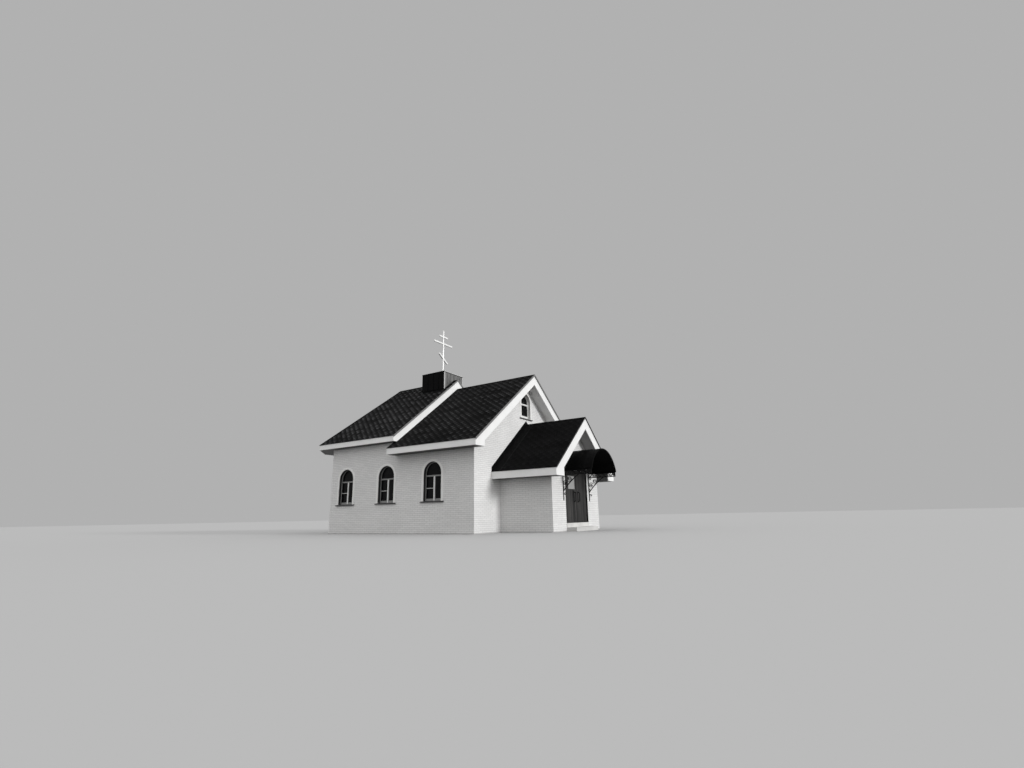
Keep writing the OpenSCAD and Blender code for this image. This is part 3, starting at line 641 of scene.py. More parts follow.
def raise_tree():
    """Raises each flat face to a closed plate with slanted edges, lifted by its points' lift."""
    tree = ShapeTree("Raise pieces", Thickness="Float", Taper="Float", Lift="Float")
    capture = tree.add("GeometryNodeCaptureAttribute", domain="POINT")
    capture.capture_items.new("VECTOR", "Out")
    normal = tree.add("GeometryNodeInputNormal").outputs[0]
    tree.fill(capture, {"Geometry": tree.given["Geometry"], 1: normal})
    flat, out = capture.outputs["Geometry"], capture.outputs[1]
    inputs = {"Mesh": flat, "Offset Scale": tree.given["Thickness"], "Individual": True}
    plate = tree.add("GeometryNodeExtrudeMesh", inputs, mode="FACES").outputs
    inputs = {"Geometry": plate["Mesh"], "Selection": plate["Top"], "Scale": tree.given["Taper"]}
    slanted = tree.add("GeometryNodeScaleElements", inputs, domain="FACE").outputs[0]
    lift = tree.add("GeometryNodeInputNamedAttribute", {"Name": "lift"}, data_type="FLOAT")
    amount = tree.math("MULTIPLY", lift.outputs["Attribute"], tree.given["Lift"])
    offset = tree.add("ShaderNodeVectorMath", {0: out, "Scale": amount}, operation="SCALE")
    inputs = {"Geometry": slanted, "Selection": plate["Top"], "Offset": offset.outputs[0]}
    lifted = tree.add("GeometryNodeSetPosition", inputs).outputs[0]
    base = tree.add("GeometryNodeFlipFaces", {0: flat}).outputs[0]
    both = tree.add("GeometryNodeJoinGeometry", {0: base})
    tree.fill(both, {0: lifted})
    weld = 0.0001
    inputs = {"Geometry": both.outputs[0], "Distance": weld}
    return tree.close(tree.add("GeometryNodeMergeByDistance", inputs).outputs[0])


def copies_tree():
    """Sets out copies of a pattern object on points, each turned as its point says."""
    tree = ShapeTree("Set out copies", Pattern="Object", Size="Float")
    inputs = {"Object": tree.given["Pattern"], "As Instance": True}
    pattern = tree.add("GeometryNodeObjectInfo", inputs).outputs["Geometry"]
    turn = tree.add("GeometryNodeInputNamedAttribute", {"Name": "turn"}, data_type="QUATERNION")
    inputs = {
        "Points": tree.given["Geometry"], "Instance": pattern,
        "Rotation": turn.outputs["Attribute"], "Scale": tree.given["Size"],
    }
    return tree.close(tree.add("GeometryNodeInstanceOnPoints", inputs).outputs[0])


def raised(name, draft, thickness, paint, body="chapel", taper=1.0, lift=0.0):
    """Plates raised from the faces of a draft."""
    tree = bpy.data.node_groups.get("Raise pieces") or raise_tree()
    values = {"Thickness": thickness, "Taper": taper, "Lift": lift}
    baked(name, draft.mesh(name + "_flat"), tree, values, paint, body)


def set_out(name, pattern, places, paint, body="chapel", bevel=0.0, smooth=False):
    """Copies of a draft at places, each a point or a point and a quaternion."""
    tree = bpy.data.node_groups.get("Set out copies") or copies_tree()
    one = pattern.mesh(name + "_one", True, bevel, smooth)
    model = bpy.data.objects.new(name + "_one", one)
    bpy.context.scene.collection.objects.link(model)
    points = bpy.data.meshes.new(name + "_points")
    places = [p if isinstance(p, tuple) else (p, Quaternion()) for p in places]
    points.from_pydata([p for p, _ in places], [], [])
    turns = points.attributes.new("turn", "QUATERNION", "POINT")
    turns.data.foreach_set("value", [x for _, q in places for x in q])
    baked(name, points, tree, {"Pattern": model, "Size": 1.0}, paint, body)
    bpy.data.objects.remove(model)
    bpy.data.meshes.remove(one)


class Paint(Nodes):
    """A finish in the making. Patterns read Object coordinates or a piece's own values."""

    def __init__(self, name, rough=0.6, metallic=0.0, specular=0.5):
        self.material = bpy.data.materials.new("chapel " + name)
        self.material.use_nodes = True
        super().__init__(self.material.node_tree)
        self.shader = self.tree.nodes["Principled BSDF"]
        own = {"Roughness": rough, "Metallic": metallic, "Specular IOR Level": specular}
        self.fill(self.shader, own)
        self.place = self.add("ShaderNodeTexCoord").outputs["Object"]

    def value(self, name):
        return self.add("ShaderNodeAttribute", attribute_name=name).outputs["Fac"]

    def noise(self, scale, detail=3.0, stretch=None):
        place = self.place
        if stretch:
            inputs = {0: place, 1: stretch}
            place = self.add("ShaderNodeVectorMath", inputs, operation="MULTIPLY").outputs[0]
        inputs = {"Vector": place, "Scale": scale, "Detail": detail}
        return self.add("ShaderNodeTexNoise", inputs).outputs[0]

    def times(self, base, *factors):
        """A colour times some factors."""
        total = factors[0]
        for factor in factors[1:]:
            total = self.math("MULTIPLY", total, factor)
        inputs = {0: tuple(base), "Scale": total}
        return self.add("ShaderNodeVectorMath", inputs, operation="SCALE").outputs[0]

    def bump(self, height, distance, strength=1.0, before=None):
        inputs = {"Height": height, "Distance": distance, "Strength": strength}
        if before:
            inputs["Normal"] = before
        return self.add("ShaderNodeBump", inputs).outputs[0]

    def side(self):
        """The distance from the middle plane, and the other two coordinates."""
        split = self.add("ShaderNodeSeparateXYZ", {0: self.place}).outputs
        return self.math("ABSOLUTE", split[0]), split[1], split[2]

    def beyond(self, planes, edge=0.004):
        """1 where a point lies on or outside one of the planes, mirrored in X."""
        place = self.add("ShaderNodeCombineXYZ", dict(enumerate(self.side()))).outputs[0]
        total = None
        for normal, distance in planes:
            inputs = {0: place, 1: normal}
            dot = self.add("ShaderNodeVectorMath", inputs, operation="DOT_PRODUCT")
            past = self.math("SUBTRACT", dot.outputs["Value"], distance)
            total = past if total is None else self.math("MAXIMUM", total, past)
        return self.math("GREATER_THAN", total, -edge)

    def done(self, base, rough, normal):
        self.fill(self.shader, {"Base Color": base, "Roughness": rough, "Normal": normal})


def plain_paint(name, base, rough, grain, bump, vary, specular=0.5):
    """A finish with soft patches, fine grain and a slightly uneven gloss."""
    paint = Paint(name, rough, specular=specular)
    soft = paint.spread(paint.noise(1.3, 4.0), 1 - vary, 1 + vary)
    fine_noise = paint.noise(grain, 4.0)
    fine = paint.spread(fine_noise, 1 - vary / 2, 1 + vary / 2)
    gloss = paint.spread(paint.noise(3.9, 3.0), rough - 0.06, rough + 0.06)
    paint.done(paint.times(base, soft, fine), gloss, paint.bump(fine_noise, bump))


def brick_paint(name, base):
    """Fired brick: a tone for each brick, soft mottling and a sanded face."""
    paint = Paint(name, 0.85, specular=0.3)
    tone = paint.spread(paint.value("tone"), 0.96, 1.03, 0.0, 1.0)
    soft = paint.spread(paint.noise(0.7), 0.97, 1.02)
    speck_noise = paint.noise(140.0, 5.0)
    speck = paint.spread(speck_noise, 0.95, 1.03)
    rough = paint.spread(paint.noise(35.0), 0.78, 0.92)
    paint.done(paint.times(base, tone, soft, speck), rough, paint.bump(speck_noise, 0.0012))


def wall_paint(name, mortar, plaster, planes):
    """Mortar on the outer faces and plaster inside and in the reveals."""
    paint = Paint(name, 0.9, specular=0.25)
    inside = paint.math("SUBTRACT", 1.0, paint.beyond(planes))
    sand_noise = paint.noise(220.0, 4.0)
    sand = paint.spread(sand_noise, 0.90, 1.06)
    soft = paint.spread(paint.noise(0.9, 4.0), 0.95, 1.03)
    trowel = paint.noise(9.0, 5.0)
    base = paint.mix(paint.times(mortar, sand, soft), paint.times(plaster, soft), inside)
    normal = paint.bump(trowel, 0.0012, 0.5, paint.bump(sand_noise, 0.0010))
    paint.done(base, paint.spread(trowel, 0.84, 0.95), normal)


def shingle_paint(name, base, strength=1.0, specular=0.1, contrast=1.0):
    """Mineral grit on bitumen: a tone for each tab and a darker band at its top; strength scales
    the whole colour as painted light or shade for one roof.
    """
    paint = Paint(name, 0.9, specular=specular)
    vary, fade = 0.95 * contrast, 0.79 * contrast
    tone = paint.spread(paint.value("tone"), 1.1 - vary, 1.1 + vary, 0.0, 1.0)
    band = paint.spread(paint.value("shade"), 0.91 + fade, 0.91 - fade, 0.12, 0.46)
    grit_noise = paint.noise(420.0)
    grit = paint.spread(grit_noise, 0.75, 1.30)
    soft = paint.spread(paint.noise(0.6, 4.0), 0.86, 1.14)
    # Painted light and shade: the same shingles made lighter or darker for one roof
    base = tuple(c * strength for c in base)
    rough = paint.spread(grit_noise, 0.82, 0.98)
    paint.done(paint.times(base, tone, band, grit, soft), rough, paint.bump(grit_noise, 0.0012))


def wood_paint(name, base):
    """Stained planks with grain and streaks that run up them, and painted shade that darkens them
    from 1.7 m up, where the canopy shades the doors.
    """
    paint = Paint(name, specular=0.25)
    grain_noise = paint.noise(9.0, 6.0, (6.0, 6.0, 0.35))
    grain = paint.spread(grain_noise, 0.55, 1.42)
    fibre_noise = paint.noise(60.0, 3.0, (5.0, 5.0, 0.25))
    fibre = paint.spread(fibre_noise, 0.90, 1.10)
    tone = paint.spread(paint.value("tone"), 0.45, 1.60, 0.0, 1.0)
    streak = paint.spread(paint.noise(3.2, 3.0, (3.0, 3.0, 0.22)), 0.40, 1.70)
    height = paint.add("ShaderNodeSeparateXYZ", {0: paint.place}).outputs[2]
    # Upright streaks times painted shade: 1.05 below 1.7 m, falling to 0.6 at 2.25 m, for the
    # canopy's shade
    streaks_and_painted_shade = paint.math("MULTIPLY", streak, paint.spread(height, 1.05, 0.60, 1.70, 2.25))
    rough = paint.spread(grain_noise, 0.45, 0.68)
    normal = paint.bump(fibre_noise, 0.0008, 0.8, paint.bump(grain_noise, 0.0014))
    paint.done(paint.times(base, grain, fibre, tone, streaks_and_painted_shade), rough, normal)


def metal_paint(name, base, rough, metallic=0.0, streaks=0.0, specular=0.5, patches=2.2):
    """Painted or bare sheet with slight waves and, on walls, upright streaks."""
    paint = Paint(name, rough, metallic, specular)
    wave = paint.noise(patches)
    factors = [paint.spread(wave, 0.88, 1.12)]
    if streaks:
        run = paint.noise(14.0, 4.0, (1.0, 1.0, 0.06))
        factors.append(paint.spread(run, 1 - streaks, 1 + streaks))
    gloss = paint.spread(paint.noise(11.0, 4.0), rough - 0.1, rough + 0.1)
    normal = paint.bump(paint.noise(90.0, 2.0), 0.0004, 0.6, paint.bump(wave, 0.004, 0.5))
    paint.done(paint.times(base, *factors), gloss, normal)


def weathering_and_reflection_paint(name, base):
    """Grey sheet with upright weathering streaks and slanted streaks of painted reflection; its
    pale tone is painted light on the same sheet as the box's dark sides.
    """
    paint = Paint(name, 0.5, 0.35)
    slant = paint.noise(5.0, 5.0, (1.0, 1.0, 0.45))
    run = paint.noise(11.0, 4.0, (1.0, 1.0, 0.10))
    fine = paint.spread(paint.noise(70.0), 0.95, 1.05)
    tint = paint.times(base, paint.spread(slant, 0.70, 1.28), paint.spread(run, 0.80, 1.18), fine)
    paint.done(tint, paint.spread(run, 0.38, 0.62), paint.bump(slant, 0.004, 0.5))


def frame_paint(name, side, gable):
    """Window frames: grey on the long walls and white in the gable; they are the same frames, so
    the grey is painted shade.
    """
    paint = Paint(name, 0.4)
    near_wall = WALL_X - 0.6
    far = paint.math("GREATER_THAN", paint.side()[0], near_wall)
    fine_noise = paint.noise(80.0, 4.0)
    fine = paint.spread(fine_noise, 0.97, 1.03)
    base = paint.mix(paint.times(gable, fine), paint.times(side, fine), far)
    paint.done(base, paint.spread(paint.noise(5.0), 0.34, 0.46), paint.bump(fine_noise, 0.0003))


def glass_paint(name, base):
    """Dark window glass with a faint unevenness."""
    paint = Paint(name, 0.05)
    paint.fill(paint.shader, {"IOR": 1.2, "Alpha": 0.9})
    wave = paint.noise(2.5, 1.0)
    tint = paint.times(base, paint.spread(wave, 0.8, 1.2))
    paint.done(tint, paint.spread(paint.noise(18.0), 0.03, 0.09), paint.bump(wave, 0.002, 0.4))


def make_finishes():
    """Makes every finish from the colours in the settings."""
    c = settings().colours
    diagonal = math.sqrt(0.5)
    nave = [
        ((1, 0, 0), WALL_X), ((0, -1, 0), -FRONT_Y), ((0, 1, 0), APSE_Y),
        ((diagonal, diagonal, 0), diagonal * (WALL_X + CORNER_Y)),
    ]
    porch = [((1, 0, 0), PORCH_X), ((0, -1, 0), -PORCH_Y)]
    brick_paint("brick", c.brick)
    wall_paint("nave_wall", c.mortar, c.plaster, nave)
    wall_paint("porch_wall", c.mortar, c.plaster, porch)
    # Side-window frames grey as painted shade, the gable window's frame white
    frame_paint("window_frame", c.casement, c.window)
    glass_paint("glass", c.glass)
    shingle_paint("shingle", c.shingle)
    # The raised roof's shingles painted lighter, and the porch's painted darker with less contrast:
    # painted light and shade on the same shingles
    shingle_paint("raised_shingle", c.shingle, 1.7)
    shingle_paint("porch_shingle", c.shingle, 0.45, 0.05, contrast=0.4)
    wood_paint("door_wood", c.door)
    wood_paint("door_core", c.core)
    # Ends of the ridge box: painted light and painted reflection on the dark sheet
    weathering_and_reflection_paint("pale_sheet", c.pale_sheet)
    # Name, colour, roughness, grain, depth of the grain, unevenness, specular level
    for row in (
        ("white_board", c.board, 0.42, 45.0, 0.0004, 0.03),
        ("lining", c.lining, 0.5, 50.0, 0.0004, 0.05),
        # Porch lining: painted shade, the ribbed lining made darker
        ("porch_lining", c.porch_lining, 0.5, 50.0, 0.0004, 0.05),
        # Soffit: painted shade, the ribbed lining made near black
        ("soffit", c.soffit, 0.6, 50.0, 0.0004, 0.08, 0.25),
        # Casement: painted shade on the side windows' bars
        ("casement", c.casement, 0.4, 80.0, 0.0003, 0.05),
        ("window_white", c.window, 0.35, 80.0, 0.0003, 0.03),
        ("surround_render", c.surround, 0.8, 130.0, 0.0010, 0.03),
        ("lamp_white", c.lamp, 0.25, 40.0, 0.0002, 0.03),
        ("concrete", c.concrete, 0.85, 95.0, 0.0016, 0.09),
        ("notice", c.notice, 0.6, 30.0, 0.0006, 0.06),
    ):
        plain_paint(*row)
    # Name, colour, roughness, metallic, streaks, specular level, patches
    for row in (
        ("verge", c.verge, 0.5, 0.2, 0.0, 0.3),
        ("porch_verge", c.porch_verge, 0.55, 0.0, 0.0, 0.2),
        ("apron", c.apron, 0.75, 0.0, 0.5, 0.04),
        ("apron_edge", c.apron_edge, 0.6, 0.0, 0.3, 0.1),
        ("roof_edge", c.roof_edge, 0.6, 0.0, 0.0, 0.1),
        ("dark_sheet", c.sheet, 0.5, 0.0, 0.22, 0.05),
        # Strip: painted highlight on the ridge box's front strips
        ("strip", c.strip, 0.4, 0.3),
        ("sill_sheet", c.sill, 0.4, 0.2),
        ("reveal", c.reveal, 0.6, 0.0, 0.15, 0.25),
        ("wrought_iron", c.iron, 0.5, 0.0, 0.0, 0.12, 9.0),
        ("canopy_sheet", c.canopy, 0.6, 0.0, 0.15, 0.05),
        ("cross_metal", c.cross, 0.35, 0.15),
    ):
        metal_paint(*row)


def finish(name):
    """A finish by its name; the first call makes them all."""
    if "chapel " + name not in bpy.data.materials:
        make_finishes()
    return bpy.data.materials["chapel " + name]


def roof_finish(name):
    """The finish of a roof by the start of its name."""
    start = name.split("_")[0]
    return start + "_shingle" if start in ("raised", "porch") else "shingle"


# Solids whose finish isn't the one of their slot
OWN_FINISH = {
    "canopy_shell": "canopy_sheet", "canopy_frame": "canopy_sheet",
    "door_frame": "door_core", "left_door": "door_core", "right_door": "door_core",
    # The eave soffits take the near-black soffit finish, which is painted shade
    "eave_soffits": "soffit", "window_frames": "window_frame",
}


class CHAPEL_OT_finish_solids(Operator):
    """Give every solid of the part its finish"""

    bl_idname = "chapel.finish_solids"
    bl_label = "Finish Solids"

    def execute(self, context):
        for row in frame["record"]["subparts"]:
            node, key = row["node"], row["material_slot"]
            if key == "brick":
                key = "porch_wall" if node.startswith("porch") else "nave_wall"
            if key == "shingle":
                key = roof_finish(node)
            mesh = frame["nodes"][node].data
            mesh.materials.clear()
            mesh.materials.append(finish(OWN_FINISH.get(node, key)))
        return {"FINISHED"}


# How far inside an opening a brick's middle may lie before the brick is left out, at an
# arch and at a straight edge, and how far past one it may lie and still be trimmed
ARCH_IN = 0.11
EDGE_IN = 0.12
ARCH_PAST = 0.20
EDGE_PAST = 0.15


def arch_cut(u, v, openings):
    """What an arched opening leaves of a brick centred at (u, v): lines, or None for nothing."""
    for middle, sill, spring, width in openings:
        radius = width / 2 + TRIM_W / 2
        du, dv = u - middle, max(0.0, v - spring)
        if v < sill or abs(du) > radius + ARCH_PAST or v > spring + radius + ARCH_PAST:
            continue
        away = math.hypot(du, dv)
        if away < radius - ARCH_IN:
            return None
        a, b = du / away, dv / away
        return [(-a, -b, -(a * middle + b * (v - dv) + radius))]
    return []


def beside(x, middle, half):
    """Line that trims a brick at x beside an opening, whose middle is so far along the wall."""
    return [(1, 0, middle - half) if x < 0 else (-1, 0, -middle - half)]


def gable_region(half, roof, deep):
    """Outline of a gable wall up to its lining."""
    side = roof.top(half) - deep
    return [(0, 0), (2 * half, 0), (2 * half, side), (half, roof.ridge - deep), (0, side)]


class BrickField:
    """Lays stretcher bond on walls, each within a convex outline."""

    def __init__(self):
        self.draft = Draft()
        self.random = random.Random(settings().bricks.seed)

    def lay(self, wall, region, cut=lambda u, v: []):
        s = settings().bricks
        pitch, course = s.length + s.joint, s.height + s.joint
        lines = edge_lines(region)
        least, most = (f(p[0] for p in region) for f in (min, max))
        for row in range(math.ceil((max(p[1] for p in region) - s.base) / course)):
            v = s.base + row * course
            u = -pitch * (0.5 if row % 2 else 1.0)
            while u < most:
                tone = self.random.random()
                more = cut(u + s.length / 2, v + s.height / 2)
                if u + s.length > least and more is not None:
                    brick = clipped(rectangle(u, v, u + s.length, v + s.height), lines + more)
                    if brick:
                        self.draft.face(wall.sunk(brick), tone=tone)
                u += pitch

    def done(self, name):
        s = settings().bricks
        raised(name, self.draft, s.relief + SINK, "brick", taper=s.edge)


class CHAPEL_OT_lay_bricks(Operator):
    """Lay the facing bricks on the outer walls"""

    bl_idname = "chapel.lay_bricks"
    bl_label = "Lay Bricks"

    def execute(self, context):
        boards = settings().boards
        for name, side in SIDES:
            self.long_wall(name, side)
        self.apse()
        self.front(boards)
        self.porch(boards)
        return {"FINISHED"}

    def long_wall(self, name, side):
        wall = upright(*side_run(side, WALL_X, FRONT_Y, CORNER_Y))
        step = wall.flat((0, STEP_Y, 0))[0]
        past_eave = 0.05
        front_top = FRONT.box + past_eave
        openings = [
            (wall.flat((side * WALL_X, y, 0))[0], WIN_SILL, WIN_SPRING, WIN_W) for y in WINDOWS_Y
        ]

        def cut(u, v):
            if side * (step - u) > EDGE_PAST and v > front_top:
                return None
            return arch_cut(u, v, openings)

        field = BrickField()
        field.lay(wall, rectangle(0, 0, CORNER_Y - FRONT_Y, RAISED.box), cut)
        field.done("bricks_" + name)

    def apse(self):
        field = BrickField()
        corners = [(WALL_X, CORNER_Y), (CORNER_X, APSE_Y), (-CORNER_X, APSE_Y), (-WALL_X, CORNER_Y)]
        for a, b in zip(corners, corners[1:]):
            field.lay(upright(a, b), rectangle(0, 0, math.dist(a, b), RAISED.box))
        field.done("bricks_apse")

    def front(self, boards):
        def cut(u, v):
            x = u - WALL_X
            if abs(x) < PORCH_X and v < PORCH.top(x):
                return None if abs(x) < PORCH_X - EDGE_IN else beside(x, WALL_X, PORCH_X)
            return arch_cut(u, v, [(WALL_X, ATTIC_SILL, ATTIC_SPRING, ATTIC_W)])

        field = BrickField()
        wall = upright((-WALL_X, FRONT_Y), (WALL_X, FRONT_Y))
        field.lay(wall, gable_region(WALL_X, FRONT, boards.front_deep), cut)
        field.done("bricks_front")

    def porch(self, boards):
        field = BrickField()
        for side in (-1, 1):
            wall = upright(*side_run(side, PORCH_X, PORCH_Y, FRONT_Y))
            field.lay(wall, rectangle(0, 0, FRONT_Y - PORCH_Y, PORCH.box))
        door = high("door_frame")

        def cut(u, v):
            x = u - PORCH_X
            if v > door.z:
                return [(0, -1, -door.z)] if abs(x) < door.x + EDGE_PAST else []
            return None if abs(x) < door.x - EDGE_IN else beside(x, PORCH_X, door.x)

        wall = upright((-PORCH_X, PORCH_Y), (PORCH_X, PORCH_Y))
        field.lay(wall, gable_region(PORCH_X, PORCH, boards.porch_deep), cut)
        field.done("bricks_porch")


def roof_planes():
    """Each roof's slopes: a sheet, its outline from the eave anticlockwise, and free edges."""
    corners = {"front": [], "raised": [], "porch": []}
    for name, roof in (("front", FRONT), ("porch", PORCH)):
        for side in (-1, 1):
            a, b = side_run(side, roof.half, roof.start, roof.end)
            points = [(*a, roof.eave), (*b, roof.eave)]
            points += [(0, b[1], roof.ridge), (0, a[1], roof.ridge)]
            corners[name].append((points, [1, 0, 0, 1] if side > 0 else [1, 1, 0, 0]))
    start, turn, rear = (
        {side: Vector((side * x, y, RAISED.eave)) for side in (-1, 1)}
        for x, y in ((RAISED.half, RAISED.start), (RAISED.half, TURN_Y), (TURN_X, REAR_Y))
    )
    head = Vector((0, RAISED.start, RAISED.ridge))
    corners["raised"] = [
        ([start[1], turn[1], PEAK, head], [1, 0, 0, 1]),
        ([turn[-1], start[-1], head, PEAK], [1, 1, 0, 0]),
        ([turn[1], rear[1], PEAK], [1, 0, 0]),
        ([rear[1], rear[-1], PEAK], [1, 0, 0]),
        ([rear[-1], turn[-1], PEAK], [1, 0, 0]),
    ]
    planes = {}
    for name, rows in corners.items():
        planes[name] = []
        for points, free in rows:
            slope = Sheet(points[0], points[1], points[-1])
            planes[name].append((slope, [slope.flat(p) for p in points], free))
    return planes


class CHAPEL_OT_lay_shingles(Operator):
    """Lay the roofing: a dark layer past the boards and six-sided tabs on it"""

    bl_idname = "chapel.lay_shingles"
    bl_label = "Lay Shingles"

    def execute(self, context):
        s = settings().shingles
        back_free, back_held = 0.003, 0.002
        for name, planes in roof_planes().items():
            tabs, layer = Draft(), Draft()
            chance = random.Random(s.seed)
            for slope, outline, free in planes:
                wide = grown(outline, [s.past * f for f in free])
                layer.prism([slope.at(*p, GAP) for p in wide], slope.n * (s.cover - GAP))
                inner = grown(outline, [s.past - back_free if f else -back_held for f in free])
                self.tabs(tabs, slope, inner, chance)
            solid_piece(name + "_roofing", layer, "roof_edge")
            paint = roof_finish(name)
            raised(name + "_shingles", tabs, s.thick, paint, taper=0.99, lift=s.lift)
        return {"FINISHED"}

    def tabs(self, draft, slope, outline, chance):
        """Rows of tabs, whose tone drifts along each row."""
        s = settings().shingles
        keep, vary = 0.55, 1.7
        lines = edge_lines(outline)
        slant = s.pitch / 2 - s.flat
        half, reach = s.flat / 2 - s.gap / 4, s.flat / 2 + slant - s.gap / 2
        tall = 2 * s.row - s.gap
        least, most = (f(p[0] for p in outline) for f in (min, max))
        for row in range(-2, math.ceil(max(p[1] for p in outline) / s.row) + 1):
            v = row * s.row
            drift = chance.random()
            column = math.floor(least / s.pitch) - 1
            while column * s.pitch < most + s.pitch:
                u = (column + (0.5 if row % 2 else 0.0)) * s.pitch
                column += 1
                drift = keep * drift + (1 - keep) * chance.random()
                tone = min(1.0, max(0.0, 0.5 + vary * (drift - 0.5)))
                shape = clipped([
                    (u - half, v), (u + half, v), (u + reach, v + tall / 2),
                    (u + half, v + tall), (u - half, v + tall), (u - reach, v + tall / 2),
                ], lines)
                if shape:
                    up = [(p[1] - v) / tall for p in shape]
                    points = [slope.at(*p, s.cover - SINK) for p in shape]
                    draft.face(points, tone=tone, shades=up, lifts=[1 - x for x in up])


def saddle(along, left, right, width, length, thick=0.005, lift=0.006):
    """A bent cap over a ridge: its length runs along, its wings down both slopes."""
    up = -(left + right).normalized()
    steepest = 0.3
    rows = []
    sides = [s if s.dot(up) > 0 else -s for s in (left.cross(along), right.cross(along))]
    for base in (up * lift, along * length + up * GAP):
        rows += [
            base + left * width, base, base + right * width,
            base + right * width + sides[1] * thick,
            base + up * (thick / max(steepest, sides[0].dot(up))),
            base + left * width + sides[0] * thick,
        ]
    draft = Draft()
    ends = [[0, 1, 4, 5], [1, 2, 3, 4], [6, 7, 10, 11], [7, 8, 9, 10]]
    draft.add(rows, around(6) + ends)
    return draft


class CHAPEL_OT_cap_ridges(Operator):
    """Set the bent caps along the ridges and hips"""

    bl_idname = "chapel.cap_ridges"
    bl_label = "Cap Ridges"

    def execute(self, context):
        s = settings().shingles
        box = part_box("ridge_box")
        clear, past_peak = 0.002, 0.030
        rise = s.cover + s.thick + clear
        for name, roof, y0, y1 in (
            ("front", FRONT, FRONT.start - s.past, FRONT.end - clear),
            ("raised", RAISED, RAISED.start - s.past, box[0].y - clear),
            ("raised_back", RAISED, PEAK.y + past_peak, box[1].y + clear),
            ("porch", PORCH, PORCH.start - s.past, low("porch_flashing").y - GAP),
        ):
            wings = [Vector((side, 0, -roof.slope)).normalized() for side in (-1, 1)]
            along = Vector((0, math.copysign(1, y1 - y0), 0))
            start = Vector((0, y0, roof.ridge + rise))
            self.row(name + "_ridge", start, along, wings, s.cap, abs(y1 - y0), roof_finish(name))
        for label, side in SIDES:
            self.hips(side, label, rise)
        return {"FINISHED"}

    def row(self, name, start, along, wings, width, long, paint):
        """Caps that each lie over the next one's end."""
        over = 0.10
        count = max(1, round((long - over) / settings().shingles.row))
        step = (long - over) / count
        places = [start + along * (k * step) for k in range(count)]
        pattern = saddle(along, *wings, width, step + over)
        set_out(name + "_caps", pattern, places, paint)

    def hips(self, side, label, rise):
        narrower, below_peak, past_eave = 0.8, 0.06, 0.01
        width = settings().shingles.cap * narrower
        start, turn, rear, other = (
            Vector((x, y, RAISED.eave)) for x, y in (
                (side * RAISED.half, PEAK.y), (side * RAISED.half, TURN_Y),
                (side * TURN_X, REAR_Y), (-side * TURN_X, REAR_Y),
            )
        )
        for name, foot, near, far in (("turn", turn, start, rear), ("rear", rear, turn, other)):
            along = (PEAK - foot).normalized()
            wings = []
            for across in (near - foot, far - foot):
                wings.append((across - along * across.dot(along)).normalized())
            out = -(wings[0] + wings[1]).normalized()
            place = foot + out * rise - along * past_eave
            long = (PEAK - foot).length - below_peak
            self.row(f"{label}_{name}_hip", place, along, wings, width, long, "raised_shingle")


def rib_rows(start, end, short):
    """Start and end of each rib of a lining, which stops a little short of its end."""
    b = settings().boards
    least = 0.03
    while start < end - least:
        yield start, min(start + b.rib - b.groove, end - short)
        start += b.rib


class CHAPEL_OT_line_gables(Operator):
    """Line the undersides of the gables' overhangs with ribbed sheets"""

    bl_idname = "chapel.line_gables"
    bl_label = "Line Gables"

    def execute(self, context):
        b = settings().boards
        for name, roof, deep, y, reach, paint in (
            ("front", FRONT, b.front_deep, FRONT_Y, WALL_X, "lining"),
            ("raised", RAISED, b.raised_deep, STEP_Y, RAISED.half - BOARD, "lining"),
            # The porch's lining in its darker finish, painted shade
            ("porch", PORCH, b.porch_deep, PORCH_Y, PORCH_X, "porch_lining"),
        ):
            sheet, ribs = Draft(), Draft()
            first, short = 0.02, 0.01
            for side in (-1, 1):
                foot = roof.top(reach) - deep
                a, c = side_run(side, reach, roof.start + BOARD, y)[::-1]
                head = (0, a[1], roof.ridge - deep)
                slope = Sheet((*a, foot), (*c, foot), head)
                long, tall = math.dist(a, c), slope.flat(head)[1]
                outline = rectangle(0, 0, long, tall)
                sheet.prism([slope.at(*p, -b.sheet) for p in outline], slope.n * b.sheet)
                for v, top in rib_rows(first, tall, short):
                    ribs.face(slope.sunk(rectangle(GAP, v, long - GAP, top)))
            name += "_gable_lining"
            solid_piece(name, sheet, paint)
            raised(name + "_ribs", ribs, b.relief, paint, taper=0.97)
        return {"FINISHED"}


def down_slopes(draft, roof, reach, y0, y1, bottom, top):
    """Two bars that lie down a roof's slopes, bottom and top measured from its upper face."""
    for side in (-1, 1):
        outline = [
            (0, y0, roof.ridge + bottom), (side * reach, y0, roof.top(reach) + bottom),
            (side * reach, y0, roof.top(reach) + top), (0, y0, roof.ridge + top),
        ]
        draft.prism(outline, (0, y1 - y0, 0))


class CHAPEL_OT_cap_verges(Operator):
    """Cap the roofs' gable edges with bent metal strips"""

    bl_idname = "chapel.cap_verges"
    bl_label = "Cap Verges"

    def execute(self, context):
        b = settings().boards
        thick, porch_up, porch_down = 0.004, 0.75, 0.4
        past = settings().shingles.past + thick
        for name, roof, up, down, paint in (
            ("front", FRONT, b.verge_up, b.verge_down, "verge"),
            ("raised", RAISED, b.verge_up, b.verge_down, "verge"),
            ("porch", PORCH, b.verge_up * porch_up, b.verge_down * porch_down, "porch_verge"),
        ):
            strips = Draft()
            y, reach = roof.start - past, roof.half + past
            down_slopes(strips, roof, reach, y - thick, y + SINK, -down, up)
            down_slopes(strips, roof, reach, y - thick, y + b.verge_flange, up - thick, up)
            solid_piece(name + "_verge_strips", strips, paint, bevel=0.001)
        return {"FINISHED"}


